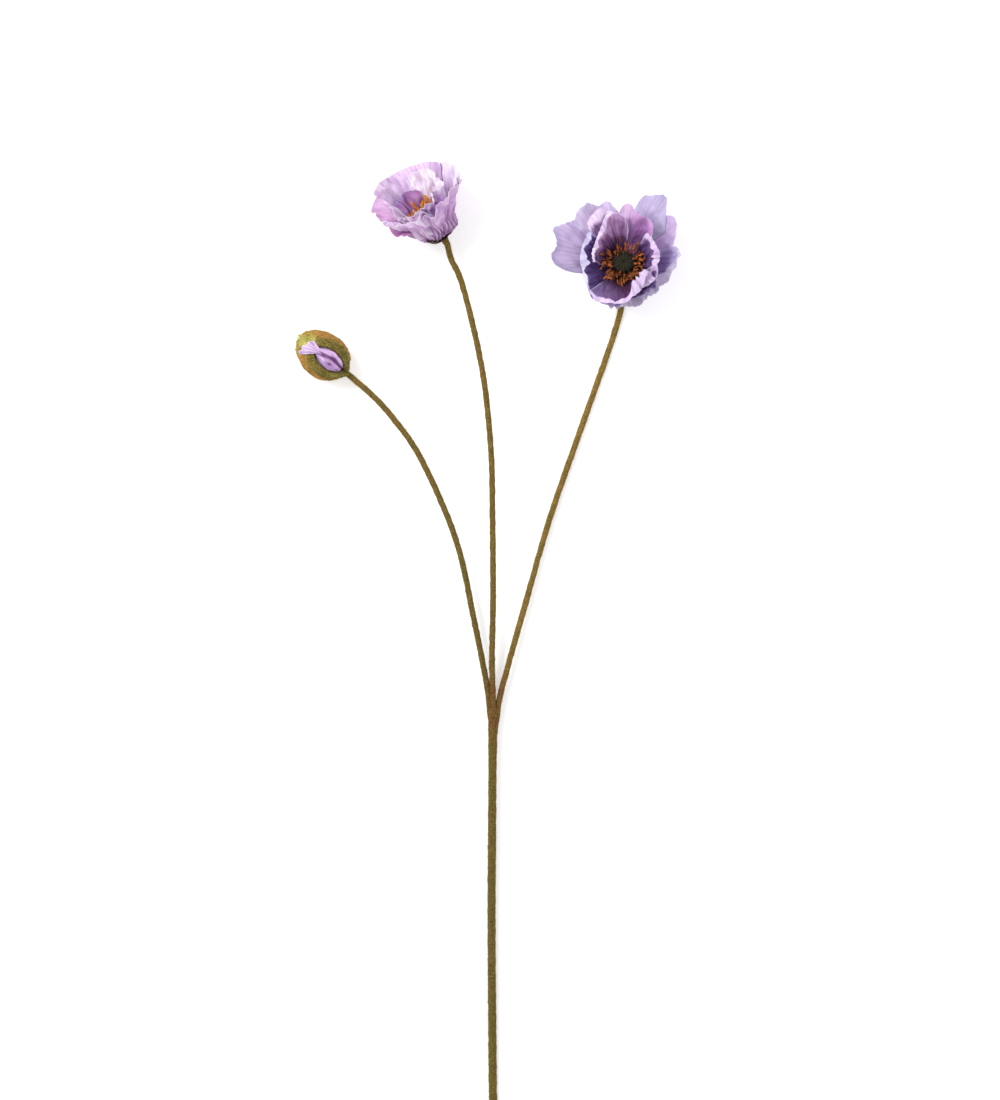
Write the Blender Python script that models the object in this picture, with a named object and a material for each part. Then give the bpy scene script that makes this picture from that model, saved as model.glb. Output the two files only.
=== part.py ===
"""A cut poppy spray laid on a table: a forked, downy stem with an opening bud, a half-open and an open bloom.

Metres, +Z up. The spray lies on the plane z = 0 with +Y running up the stem, and its heads face up (+Z).
The origin is on that plane, at the middle of the spray's footprint.
"""

import math
from collections import namedtuple

import bpy
import numpy as np
from mathutils import Matrix, Vector

MM = 0.001

# Where the cut end of the stem lies in the frame. Every route and head below is measured from the cut end.
CUT_END = Vector((2.46, -300.42, 0.01)) * MM

# The gap left between two pieces that are seated on each other
SEAT = 0.3 * MM

# Stem: a stalk that forks into three branches. Points are (x, y, z) of the centre line, in mm
STALK_RADIUS = 2.5 * MM
FORK_RADIUS = 2.9 * MM
BRANCH_RADIUS = 1.8 * MM
STALK_ROUTE = [
    (0, 0, 2.31), (-0.6, 43, 2.8), (-1.2, 118, 4.2), (-0.9, 190, 5.6), (-0.5, 240, 6.6), (0, 268, 7.2),
]
BUD_ROUTE = [
    (-1.2, 244, 6.4), (-3.0, 268, 7.0), (-7.1, 291.4, 7.6), (-12.1, 316.2, 8.2), (-23.3, 365.8, 9.0),
    (-44.6, 415.4, 9.4), (-61.4, 440.2, 9.4), (-74.0, 454.4, 9.4), (-86.0, 465.0, 9.7), (-91.6, 469.7, 10.4),
]
HALF_ROUTE = [
    (0.2, 244, 7.2), (-0.3, 268, 8.0), (-0.9, 291.4, 8.6), (-0.3, 328.6, 9.4), (-0.6, 378.2, 10.2),
    (-1.2, 415.4, 10.6), (-4.3, 452.6, 10.6), (-8.1, 477.4, 10.4), (-13.6, 502.2, 10.2), (-20.2, 527, 10.2),
    (-26.2, 540.0, 11.2),
]
OPEN_ROUTE = [
    (1.6, 244, 6.2), (3.0, 263.5, 6.2), (8.3, 285, 5.8), (20.5, 328.6, 4.8), (34.7, 378.2, 3.8),
    (51.8, 427.8, 2.8), (69.4, 477.4, 1.9), (77.5, 502.2, 1.66), (80.6, 518, 1.8), (81.2, 527, 4.0),
    (81.1, 532.6, 8.0),
]
STEM_SIDES = 8
ROUTE_STEP = 17 * MM
NECK_STEP = 2.6 * MM
NECK_STRETCHES = 4
FORK_FROM, FORK_SWELL = 0.8, 0.15
RECEPTACLE_RADIUS = 2.5 * MM
RECEPTACLE_LENGTH = 5 * MM

# Heads: the place of each base, measured from the cut end in mm, and the way its axis points
OPEN_BASE = (80.6, 536.0, 14.2)
OPEN_HEADING, OPEN_TILT = 95, 8
HALF_BASE = (-32.0, 554.2, 16.3)
HALF_HEADING, HALF_TILT = 124, 60
BUD_CENTRE = (-106.0, 480.6, 13.7)
BUD_HEADING, BUD_TILT = 143, 80

# A bloom is built up along its axis: calyx, whorls of petals, and stamens round the pistil's foot
CALYX_THICKNESS = 1.0 * MM
CALYX_HEIGHT = -1.5 * MM
PETAL_THICKNESS = 0.7 * MM
CLAW_RADIUS = 3.7 * MM
PISTIL_FOOT_RADIUS = CLAW_RADIUS - SEAT - 0.1 * MM

# A whorl is the surface that a ring of petals lies on. Leans are degrees from the bloom's axis, at the claw,
# belly and lip; sway adds (times round, degrees, heading) to the belly's lean, curl the same to the lip's, and
# waves adds (times round, mm, phase) at the rim.
Whorl = namedtuple("Whorl", "height claw belly lip bend lip_length sway waves curl")

# A petal's rim lists its lengths in mm from its right side to its left. Where neighbours overlap, one side
# passes over (1) and the other under (-1), lifted off the whorl's surface. Petals are narrower at the claw, and
# their waves grow towards PETAL_REACH.
Petal = namedtuple("Petal", "heading spread left right rim")
LIFT_OVER, LIFT_UNDER = 1.1 * MM, -0.7 * MM
LIFT_LENGTH = 10 * MM
SWAY_LENGTH = 15 * MM
CLAW_SPREAD_SHARE = 0.62
WIDEN_LENGTH = 14 * MM
PETAL_REACH = 45 * MM
PETAL_COLUMNS, PETAL_ROWS = 12, 7
CURVE_STEPS = 32

OPEN_OUTER = Whorl(
    height=0.8 * MM, claw=84, belly=62, lip=84, bend=10.5 * MM, lip_length=9 * MM,
    sway=[(1, 15, 110)],
    waves=[(7, 2.2, 20), (12, 1.7, 140)],
    curl=[(5, 14, 60)],
)
OPEN_OUTER_PETALS = [
    Petal(heading=173, spread=28, left=1, right=-1, rim=[38, 43.5, 41.5, 42.5, 40.5, 33, 21]),
    Petal(heading=117, spread=28, left=1, right=1, rim=[27.5, 31, 36.5, 39, 41.5, 38.5, 36.5]),
    Petal(heading=65, spread=29, left=-1, right=1, rim=[35, 36.5, 45.5, 43.5, 40, 30, 30]),
    Petal(heading=23, spread=25, left=-1, right=-1, rim=[20.5, 22.5, 28, 34, 37, 42, 39]),
    Petal(heading=-24, spread=40, left=1, right=1, rim=[28, 29, 28, 30.5, 33, 36, 35]),
    Petal(heading=-106, spread=50, left=-1, right=-1, rim=[24.5, 26.5, 30, 34, 30.5, 28.5, 23]),
]
OPEN_MIDDLE = Whorl(
    height=2.5 * MM, claw=81, belly=40, lip=88, bend=11 * MM, lip_length=5 * MM,
    sway=[(2, 4, -100)],
    waves=[(9, 1.2, 70), (13, 0.9, 200)],
    curl=[(11, 20, 20)],
)
OPEN_MIDDLE_PETALS = [
    Petal(heading=184, spread=48, left=-1, right=-1, rim=[28, 29.5, 30, 29, 28.5, 31, 34]),
    Petal(heading=118, spread=26, left=1, right=-1, rim=[27, 31, 36, 37, 36, 33, 31]),
    Petal(heading=62, spread=34, left=1, right=-1, rim=[24, 28, 31, 32, 32, 31, 29]),
    Petal(heading=-45, spread=42, left=1, right=1, rim=[20, 23, 24, 24, 23, 22, 20]),
]
OPEN_INNER = Whorl(
    height=4.2 * MM, claw=82, belly=18, lip=94, bend=12 * MM, lip_length=6 * MM,
    sway=[(2, 9, 90), (1, 6, -10)],
    waves=[(9, 1.0, 40), (13, 1.0, 200)],
    curl=[(13, 30, 60)],
)
OPEN_INNER_PETALS = [
    Petal(heading=130, spread=50, left=1, right=1, rim=[27, 34, 35, 32, 30, 29, 27]),
    Petal(heading=274, spread=52, left=1, right=1, rim=[36, 37, 37, 36, 34, 33, 31]),
    Petal(heading=-2, spread=50, left=1, right=-1, rim=[28, 30, 32, 32, 33, 33, 32]),
]
HALF_OUTER = Whorl(
    height=0.8 * MM, claw=66, belly=30, lip=45, bend=8 * MM, lip_length=16 * MM,
    sway=[(1, 7, 75)],
    waves=[(9, 1.9, 10), (14, 1.3, 100)],
    curl=[(7, 12, 40)],
)
HALF_OUTER_PETALS = [
    Petal(heading=246, spread=44, left=1, right=1, rim=[38, 39, 38, 37, 36, 37, 38]),
    Petal(heading=320, spread=43, left=-1, right=-1, rim=[30, 35, 38, 40, 42, 41, 37]),
    Petal(heading=28, spread=44, left=-1, right=1, rim=[41, 42, 42, 42.5, 43, 42, 39]),
    Petal(heading=102, spread=44, left=-1, right=1, rim=[42, 45, 46, 47, 46.5, 44, 40]),
    Petal(heading=176, spread=44, left=-1, right=1, rim=[42, 44, 43.5, 41, 37, 31, 25]),
]
HALF_INNER = Whorl(
    height=3.9 * MM, claw=64, belly=13, lip=25, bend=8.5 * MM, lip_length=12 * MM,
    sway=[(1, 4, 90)],
    waves=[(9, 1.5, 10), (14, 1.1, 100)],
    curl=[(7, 12, 40)],
)
HALF_INNER_PETALS = [
    Petal(heading=225, spread=52, left=1, right=1, rim=[30, 29, 27, 26, 27, 28, 30]),
    Petal(heading=318, spread=52, left=-1, right=-1, rim=[29, 30, 31, 32, 33, 32, 29]),
    Petal(heading=56, spread=52, left=-1, right=1, rim=[34, 36, 38, 39, 38, 36, 32]),
    Petal(heading=142, spread=48, left=-1, right=1, rim=[35, 37, 38, 37, 35, 31, 24]),
]

# Calyx: a shallow cup with pointed lobes that lie against the backs of the outer petals
OPEN_CALYX_CUP, OPEN_CALYX_LOBE, OPEN_CALYX_HEADING = 5.5 * MM, 8 * MM, 100
HALF_CALYX_CUP, HALF_CALYX_LOBE, HALF_CALYX_HEADING = 4.6 * MM, 9 * MM, 240
CALYX_LOBES = 3
CALYX_SEGMENTS, CALYX_RINGS = 21, 4

# Pistil: a squat capsule with a rayed cap; the profile is (radius, height) in mm above the collar's top
PISTIL_PROFILE = [(4.7, 1.2), (5.2, 3.4), (5.2, 5.4), (6.5, 6.6), (6.2, 7.8), (3.4, 8.7)]
OPEN_PISTIL_WIDTH, HALF_PISTIL_WIDTH = 1.0, 0.7
PISTIL_RAYS = 12
RAY_DEPTH = 0.07
PISTIL_SEGMENTS = 24

# Stamens: bowed threads with thick anthers, rooted in a collar round the pistil's foot. A tier is
# (degrees from the axis, length in mm, degrees that it bows).
COLLAR_INNER, COLLAR_OUTER = PISTIL_FOOT_RADIUS + SEAT, 5.2 * MM
COLLAR_HEIGHT = 1.5 * MM
COLLAR_SIDES = 16
OPEN_COLLAR_RISE, HALF_COLLAR_RISE = 0.7 * MM, 1.2 * MM
FILAMENT_RADIUS = 0.45 * MM
ANTHER_RADIUS = 0.85 * MM
STAMEN_POINTS, STAMEN_SIDES = 6, 4
OPEN_STAMEN_COUNT = 24
OPEN_STAMEN_TIERS = [(46, 10, 24), (22, 11, 34), (54, 9.5, 8)]
HALF_STAMEN_COUNT = 14
HALF_STAMEN_TIERS = [(24, 16, -16), (32, 15, -20)]

# Bud: two downy sepals, parted on the side that faces up, with crumpled petals pushing out between them in two
# lobes and a pleated fan
BUD_LENGTH, BUD_WIDTH = 35.6 * MM, 28 * MM
BUD_FULLNESS = 0.06
SEPAL_THICKNESS = 1.6 * MM
SEPAL_FROM, SEPAL_TO = 0.006, 0.998
SEPAL_COLUMNS, SEPAL_ROWS = 11, 13
SEAM_HALF_GAP = 0.16 * MM
TIP_NOTCH = 0.8 * MM
SLIT_FROM, SLIT_TO = 0.03, 0.74
SLIT_HALF_WIDTH = 6.8 * MM
CORE_INSET = 2.8 * MM
CORE_FROM, CORE_TO, CORE_RINGS = 0.03, 0.985, 13
SLIT_ARC, SLIT_SEGMENTS, BACK_SEGMENTS = 52, 18, 10
BULGE, BULGE_SHOULDER, BULGE_CLEARANCE = 4.6 * MM, 2.4 * MM, 1.5 * MM
LOBE_CREASE, CREASE_WIDTH = 1.8 * MM, 1.3 * MM
FAN_FROM, FAN_TO = 0.655, 0.90
FAN_NECK_HALF, FAN_END_HALF = 1.2 * MM, 5.4 * MM
FAN_THICKNESS, FAN_OFF = 0.8 * MM, 0.9 * MM
FAN_PLEAT = 0.5 * MM
FAN_COLUMNS, FAN_ROWS = 9, 4

Paint = namedtuple("Paint", "name colour roughness")
STEM_PAINT = Paint("downy stem", (0.20, 0.15, 0.035), 0.95)
SEPAL_PAINT = Paint("downy sepal", (0.27, 0.20, 0.05), 0.95)
CALYX_PAINT = Paint("dry calyx", (0.035, 0.016, 0.012), 0.8)
OUTER_PAINT = Paint("lavender petal", (0.56, 0.47, 0.75), 0.7)
INNER_PAINT = Paint("mauve petal", (0.40, 0.22, 0.45), 0.7)
HALF_PAINT = Paint("pink lilac petal", (0.64, 0.42, 0.72), 0.7)
STAMEN_PAINT = Paint("rust anther", (0.42, 0.14, 0.03), 0.7)
PISTIL_PAINT = Paint("dark capsule", (0.035, 0.036, 0.018), 0.8)


def clear_scene():
    for obj in list(bpy.data.objects):
        bpy.data.objects.remove(obj)


def material(paint):
    found = bpy.data.materials.get(paint.name)
    if found:
        return found
    made = bpy.data.materials.new(paint.name)
    made.use_nodes = True
    shader = made.node_tree.nodes["Principled BSDF"]
    shader.inputs["Base Color"].default_value = (*paint.colour, 1)
    shader.inputs["Roughness"].default_value = paint.roughness
    shader.inputs["Metallic"].default_value = 0
    return made


def add_mesh(name, points, faces, paint, parent=None):
    mesh = bpy.data.meshes.new(name)
    mesh.from_pydata([tuple(p) for p in points], [], [tuple(f) for f in faces])
    mesh.materials.append(material(paint))
    mesh.shade_smooth()
    mesh.set_sharp_from_angle(angle=math.radians(50))
    obj = bpy.data.objects.new(name, mesh)
    obj.parent = parent
    bpy.context.scene.collection.objects.link(obj)
    return obj


def union(name, meshes, paint, parent=None):
    """One body from several closed meshes, each (points, faces): a Boolean union on a collection, applied."""
    helpers = bpy.data.collections.new(name + " pieces")
    bpy.context.scene.collection.children.link(helpers)
    first, *others = [add_mesh(name, points, faces, paint, parent) for points, faces in meshes]
    for other in others:
        bpy.context.scene.collection.objects.unlink(other)
        helpers.objects.link(other)
    join = first.modifiers.new("join", "BOOLEAN")
    join.operation = "UNION"
    join.operand_type = "COLLECTION"
    join.collection = helpers
    join.solver = "EXACT"
    bpy.context.view_layer.update()
    graph = bpy.context.evaluated_depsgraph_get()
    joined = bpy.data.meshes.new_from_object(first.evaluated_get(graph))
    first.modifiers.clear()
    first.data = joined
    for other in others:
        bpy.data.objects.remove(other)
    bpy.data.collections.remove(helpers)
    return first


def place(point):
    """A point given in mm from the cut end, in the frame."""
    return CUT_END + Vector(point) * MM


def leaning(heading, tilt):
    """The direction that leans tilt degrees from straight up, towards heading degrees from +X."""
    h, t = math.radians(heading), math.radians(tilt)
    return Vector((math.sin(t) * math.cos(h), math.sin(t) * math.sin(h), math.cos(t)))


def frame_of(origin, axis, face):
    """The matrix of a frame at origin whose z runs along axis and whose x is as near face as it can be."""
    x = (face - axis * face.dot(axis)).normalized()
    y = axis.cross(x)
    return Matrix.Translation(origin) @ Matrix((x, y, axis)).transposed().to_4x4()


def add_frame(name, matrix):
    empty = bpy.data.objects.new(name, None)
    empty.matrix_world = matrix
    bpy.context.scene.collection.objects.link(empty)
    return empty


def smooth_route(route, steps):
    """A Catmull-Rom curve through the points of a route, with steps points in each stretch."""
    p = np.array(route, float)
    p = np.vstack([2 * p[0] - p[1], p, 2 * p[-1] - p[-2]])
    out = []
    for i, count in enumerate(steps):
        a, b, c, d = p[i : i + 4]
        for t in np.arange(count) / count:
            bend = (2 * a - 5 * b + 4 * c - d) * t**2 + (3 * b - a - 3 * c + d) * t**3
            out.append(0.5 * (2 * b + (c - a) * t + bend))
    out.append(p[-2])
    return np.array(out)


def stretches(route, step, fine_step=0, fine_last=0):
    """How many steps each stretch of a route takes; the last fine_last stretches take the finer step."""
    lengths = np.linalg.norm(np.diff(np.array(route, float), axis=0), axis=1)
    sizes = [step] * (len(lengths) - fine_last) + [fine_step] * fine_last
    return [max(1, round(length / size)) for length, size in zip(lengths, sizes)]


def tube(path, radii, sides, flatten=None):
    """A closed tube along a path, its rings carried without twist. Faces are triangles."""
    path = np.asarray(path, float)
    tangents = np.gradient(path, axis=0)
    tangents /= np.linalg.norm(tangents, axis=1)[:, None]
    across = np.cross(tangents[0], [0.0, 0.0, 1.0] if abs(tangents[0][2]) < 0.9 else [1.0, 0.0, 0.0])
    across /= np.linalg.norm(across)
    turns = (np.arange(sides) + 0.5) * 2 * np.pi / sides
    points = []
    for centre, tangent, radius in zip(path, tangents, radii):
        across = across - tangent * (across @ tangent)
        across /= np.linalg.norm(across)
        up = np.cross(across, tangent)
        for turn in turns:
            points.append(centre + radius * (np.cos(turn) * across + np.sin(turn) * up))
    rings = len(path)
    faces = []
    for i in range(rings - 1):
        for j in range(sides):
            k = (j + 1) % sides
            a, b, c, d = i * sides + j, i * sides + k, (i + 1) * sides + k, (i + 1) * sides + j
            faces += [(a, c, b), (a, d, c)]
    points += [path[0], path[-1]]
    start, end = rings * sides, rings * sides + 1
    last = (rings - 1) * sides
    for j in range(sides):
        k = (j + 1) % sides
        faces += [(start, j, k), (end, last + k, last + j)]
    return np.array(points), faces


def lathe(profile, segments, ripple):
    """A closed turned body from (radius, height) points up its side, its radius scaled by ripple(turn, share)."""
    points, faces = [], []
    turns = np.arange(segments) * 2 * np.pi / segments
    for n, (radius, height) in enumerate(profile):
        share = n / (len(profile) - 1)
        for turn in turns:
            r = radius * ripple(turn, share)
            points.append((r * math.cos(turn), r * math.sin(turn), height))
    for i in range(len(profile) - 1):
        for j in range(segments):
            k = (j + 1) % segments
            a, b, c, d = i * segments + j, i * segments + k, (i + 1) * segments + k, (i + 1) * segments + j
            faces += [(a, b, c), (a, c, d)]
    points += [(0, 0, profile[0][1]), (0, 0, profile[-1][1])]
    bottom, top = len(points) - 2, len(points) - 1
    last = (len(profile) - 1) * segments
    for j in range(segments):
        k = (j + 1) % segments
        faces += [(bottom, k, j), (top, last + j, last + k)]
    return points, faces


def smoothstep(x):
    x = np.clip(x, 0, 1)
    return x * x * (3 - 2 * x)


def ring_sum(terms, turn):
    """The sum of waves that close on themselves round a ring: each term is (times round, size, phase in degrees)."""
    return sum(size * np.cos(times * turn - math.radians(phase)) for times, size, phase in terms)


def lean(whorl, turn, run, rim):
    """Radians between a petal and the bloom's axis, run metres up from its claw, where it is rim metres long."""
    belly = whorl.belly + ring_sum(whorl.sway, turn) * smoothstep(run / SWAY_LENGTH)
    lip = whorl.lip + ring_sum(whorl.curl, turn)
    angle = belly + (whorl.claw - belly) * np.exp(-((run / whorl.bend) ** 1.5))
    angle = angle + (lip - belly) * smoothstep((run - rim) / whorl.lip_length + 1)
    return np.radians(angle)


def whorl_point(whorl, turn, run, rim, lift):
    """Points of a whorl at angle turn round the axis, run along the petal and lift off its surface, inwards."""
    fraction = (np.arange(CURVE_STEPS) + 0.5) / CURVE_STEPS
    angles = lean(whorl, turn[..., None], run[..., None] * fraction, rim[..., None])
    radius = CLAW_RADIUS + run * np.sin(angles).mean(-1)
    height = whorl.height + run * np.cos(angles).mean(-1)
    end = lean(whorl, turn, run, rim)
    radius = radius - lift * np.cos(end)
    height = height + lift * np.sin(end)
    return np.stack([radius * np.cos(turn), radius * np.sin(turn), height], -1)


def rim_length(petal, across):
    """The petal's length at a place across it, -1 at its right side and 1 at its left."""
    marks = np.array(petal.rim, float) * MM
    marks = np.concatenate([marks[:1], marks, marks[-1:]])
    place_on = (np.clip(across, -1, 1) + 1) / 2 * (len(petal.rim) - 1)
    first = np.minimum(place_on.astype(int), len(petal.rim) - 2)
    t = place_on - first
    a, b, c, d = (marks[first + n] for n in range(4))
    bend = (2 * a - 5 * b + 4 * c - d) * t**2 + (3 * b - a - 3 * c + d) * t**3
    return 0.5 * (2 * b + (c - a) * t + bend)


def petal_surface(whorl, petal, columns, rows):
    """The middle surface of one petal, as a grid of points: columns across, rows from claw to rim."""
    across, along = np.meshgrid(np.linspace(-1, 1, columns), np.linspace(0, 1, rows), indexing="ij")
    side = np.where(across > 0, petal.left, petal.right)
    off = np.where(side > 0, LIFT_OVER, LIFT_UNDER)
    rim = rim_length(petal, across)
    run = rim * along
    spread = petal.spread * (CLAW_SPREAD_SHARE + (1 - CLAW_SPREAD_SHARE) * smoothstep(run / WIDEN_LENGTH))
    turn = np.radians(petal.heading + spread * across)
    lift = off * np.abs(across) * smoothstep(run / LIFT_LENGTH)
    lift = lift + ring_sum(whorl.waves, turn) * MM * (run / PETAL_REACH) ** 2.5
    return whorl_point(whorl, turn, run, rim, lift)


def shell_solid(outer, inner):
    """A closed shell between two like grids of points, split into triangles alike on both faces."""
    columns, rows, _ = outer.shape
    other = columns * rows
    faces = []
    for i in range(columns - 1):
        for j in range(rows - 1):
            a, b, c, d = i * rows + j, (i + 1) * rows + j, (i + 1) * rows + j + 1, i * rows + j + 1
            for p, q, r in ((a, b, c), (a, c, d)):
                faces += [(p, q, r), (p + other, r + other, q + other)]
    edge = [i * rows for i in range(columns)]
    edge += [(columns - 1) * rows + j for j in range(1, rows)]
    edge += [i * rows + rows - 1 for i in range(columns - 2, -1, -1)]
    edge += [j for j in range(rows - 2, 0, -1)]
    for p, q in zip(edge, edge[1:] + edge[:1]):
        faces += [(p, p + other, q + other), (p, q + other, q)]
    return np.vstack([outer.reshape(-1, 3), inner.reshape(-1, 3)]), faces


def sheet_solid(surface, thickness):
    """A closed sheet of one thickness round a grid of points."""
    du = np.gradient(surface, axis=0)
    dv = np.gradient(surface, axis=1)
    normal = np.cross(du, dv)
    normal /= np.linalg.norm(normal, axis=-1)[..., None]
    return shell_solid(surface + normal * thickness / 2, surface - normal * thickness / 2)


def add_petals(prefix, whorl, petals, paint, parent):
    for number, petal in enumerate(petals, 1):
        surface = petal_surface(whorl, petal, PETAL_COLUMNS, PETAL_ROWS)
        points, faces = sheet_solid(surface, PETAL_THICKNESS)
        add_mesh(f"{prefix}_{number}", points, faces, paint, parent)


def add_calyx(name, whorl, cup, lobe, heading, parent):
    """A lobed cup whose lobes follow the outer whorl's backs, a seat below them; heading is its first lobe's."""
    turns = np.arange(CALYX_SEGMENTS) * 2 * np.pi / CALYX_SEGMENTS
    point = np.cos((turns - math.radians(heading)) * CALYX_LOBES / 2) ** 4
    rims = cup + lobe * point
    drop = (PETAL_THICKNESS + CALYX_THICKNESS) / 2 + SEAT - LIFT_UNDER
    top, bottom = [], []
    for ring in range(1, CALYX_RINGS + 1):
        share = ring / CALYX_RINGS
        run = np.maximum(rims * share - CLAW_RADIUS, 0)
        lift = -drop * smoothstep(run / CLAW_RADIUS)
        sits = whorl_point(whorl, turns, run, np.full_like(turns, PETAL_REACH), lift)
        flat = np.stack([rims * share * np.cos(turns), rims * share * np.sin(turns), np.zeros_like(turns)], -1)
        flat[:, 2] = CALYX_HEIGHT + CALYX_THICKNESS / 2
        blend = smoothstep(run / (0.6 * CLAW_RADIUS))[:, None]
        middle = flat * (1 - blend) + sits * blend
        outward = np.stack([np.cos(turns), np.sin(turns), np.zeros_like(turns)], -1)
        slope = lean(whorl, turns, run, np.full_like(turns, PETAL_REACH))[:, None]
        normal = np.array([0, 0, 1.0]) * np.sin(slope) - outward * np.cos(slope)
        normal = np.array([0, 0, 1.0]) * (1 - blend) + normal * blend
        normal /= np.linalg.norm(normal, axis=1)[:, None]
        top.append(middle + normal * CALYX_THICKNESS / 2)
        bottom.append(middle - normal * CALYX_THICKNESS / 2)
    points = np.vstack(top + bottom + [[(0, 0, CALYX_HEIGHT + CALYX_THICKNESS)], [(0, 0, CALYX_HEIGHT)]])
    n, rings = CALYX_SEGMENTS, CALYX_RINGS
    other, top_centre = n * rings, 2 * n * rings
    faces = []
    for j in range(n):
        k = (j + 1) % n
        faces += [(top_centre, j, k), (top_centre + 1, other + k, other + j)]
        for i in range(rings - 1):
            a, b, c, d = i * n + j, i * n + k, (i + 1) * n + k, (i + 1) * n + j
            faces += [(a, c, b), (a, d, c), (a + other, b + other, c + other), (a + other, c + other, d + other)]
        a, b = (rings - 1) * n + j, (rings - 1) * n + k
        faces += [(a, a + other, b + other), (a, b + other, b)]
    add_mesh(name, points, faces, CALYX_PAINT, parent)


def add_pistil(name, width, collar_top, parent):
    foot = CALYX_HEIGHT + CALYX_THICKNESS + 2 * SEAT
    profile = [(PISTIL_FOOT_RADIUS, foot), (PISTIL_FOOT_RADIUS, collar_top)]
    profile += [(width * r * MM, collar_top + h * MM) for r, h in PISTIL_PROFILE]

    def ripple(turn, share):
        return 1 + RAY_DEPTH * math.cos(PISTIL_RAYS * turn) * smoothstep((share - 0.3) * 2)

    points, faces = lathe(profile, PISTIL_SEGMENTS, ripple)
    add_mesh(name, points, faces, PISTIL_PAINT, parent)


def collar(collar_top):
    """The ring round the pistil's foot that holds the stamens."""
    low = collar_top - COLLAR_HEIGHT
    ring = [(COLLAR_INNER, low), (COLLAR_OUTER, low), (COLLAR_OUTER, collar_top), (COLLAR_INNER, collar_top)]
    corners = len(ring)
    points, faces = [], []
    for i in range(COLLAR_SIDES):
        turn = i * 2 * math.pi / COLLAR_SIDES
        points += [(r * math.cos(turn), r * math.sin(turn), h) for r, h in ring]
    for i in range(COLLAR_SIDES):
        here, after = i * corners, (i + 1) % COLLAR_SIDES * corners
        for j in range(corners):
            k = (j + 1) % corners
            faces += [(here + j, after + k, here + k), (here + j, after + j, after + k)]
    return points, faces


def stamen_path(turn, collar_top, out, length, bow):
    """The centre line of one stamen: it leaves the collar at out degrees from the axis and bows outwards by bow."""
    run = np.linspace(0, length, STAMEN_POINTS)
    angle = np.radians(out + bow * run / length)
    step = length / (STAMEN_POINTS - 1)
    radius = (COLLAR_INNER + COLLAR_OUTER) / 2 + np.concatenate([[0], np.cumsum(np.sin(angle[1:]) * step)])
    height = collar_top - COLLAR_HEIGHT / 2 + np.concatenate([[0], np.cumsum(np.cos(angle[1:]) * step)])
    return np.stack([radius * np.cos(turn), radius * np.sin(turn), height], -1)


def add_stamens(name, count, tiers, collar_top, parent):
    """Stamens evenly set round the pistil in tiers of (out, length in mm, bow), joined by their collar."""
    pieces = [collar(collar_top)]
    for number in range(count):
        out, length, bow = tiers[number % len(tiers)]
        path = stamen_path(math.radians(number * 360 / count), collar_top, out, length * MM, bow)
        radii = [FILAMENT_RADIUS] * (STAMEN_POINTS - 2) + [ANTHER_RADIUS, 0.5 * ANTHER_RADIUS]
        pieces.append(tube(path, radii, STAMEN_SIDES))
    union(name, pieces, STAMEN_PAINT, parent)


def build_stem():
    """The stalk and its three branches, grown together at the fork; bloom branches end in a wider receptacle."""
    stalk = smooth_route(STALK_ROUTE, stretches(STALK_ROUTE, ROUTE_STEP / MM))
    run = np.linspace(0, 1, len(stalk))
    swell = STALK_RADIUS + (FORK_RADIUS - STALK_RADIUS) * smoothstep((run - FORK_FROM) / FORK_SWELL)
    pieces = [tube(stalk * MM + np.array(CUT_END), swell, STEM_SIDES)]
    for route, base, axis in (
        (BUD_ROUTE, None, None),
        (HALF_ROUTE, HALF_BASE, leaning(HALF_HEADING, HALF_TILT)),
        (OPEN_ROUTE, OPEN_BASE, leaning(OPEN_HEADING, OPEN_TILT)),
    ):
        points = list(route)
        if base:
            top = np.array(base) + np.array(axis) * (CALYX_HEIGHT - SEAT) / MM
            points += [tuple(top - np.array(axis) * RECEPTACLE_LENGTH / MM), tuple(top)]
        path = smooth_route(points, stretches(points, ROUTE_STEP / MM, NECK_STEP / MM, NECK_STRETCHES))
        to_end = np.linalg.norm(path - path[-1], axis=1) * MM
        radii = np.full(len(path), BRANCH_RADIUS)
        if base:
            radii += (RECEPTACLE_RADIUS - BRANCH_RADIUS) * smoothstep(1 - to_end / RECEPTACLE_LENGTH)
        pieces.append(tube(path * MM + np.array(CUT_END), radii, STEM_SIDES))
    union("stem", pieces, STEM_PAINT)


def build_open_bloom():
    axis = leaning(OPEN_HEADING, OPEN_TILT)
    head = add_frame("open_bloom", frame_of(place(OPEN_BASE), axis, Vector((1, 0, 0))))
    add_calyx("open_calyx", OPEN_OUTER, OPEN_CALYX_CUP, OPEN_CALYX_LOBE, OPEN_CALYX_HEADING, head)
    add_petals("open_outer_petal", OPEN_OUTER, OPEN_OUTER_PETALS, OUTER_PAINT, head)
    add_petals("open_middle_petal", OPEN_MIDDLE, OPEN_MIDDLE_PETALS, INNER_PAINT, head)
    add_petals("open_inner_petal", OPEN_INNER, OPEN_INNER_PETALS, INNER_PAINT, head)
    collar_top = OPEN_INNER.height + PETAL_THICKNESS / 2 + SEAT + COLLAR_HEIGHT + OPEN_COLLAR_RISE
    add_pistil("open_pistil", OPEN_PISTIL_WIDTH, collar_top, head)
    add_stamens("open_stamens", OPEN_STAMEN_COUNT, OPEN_STAMEN_TIERS, collar_top, head)


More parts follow.
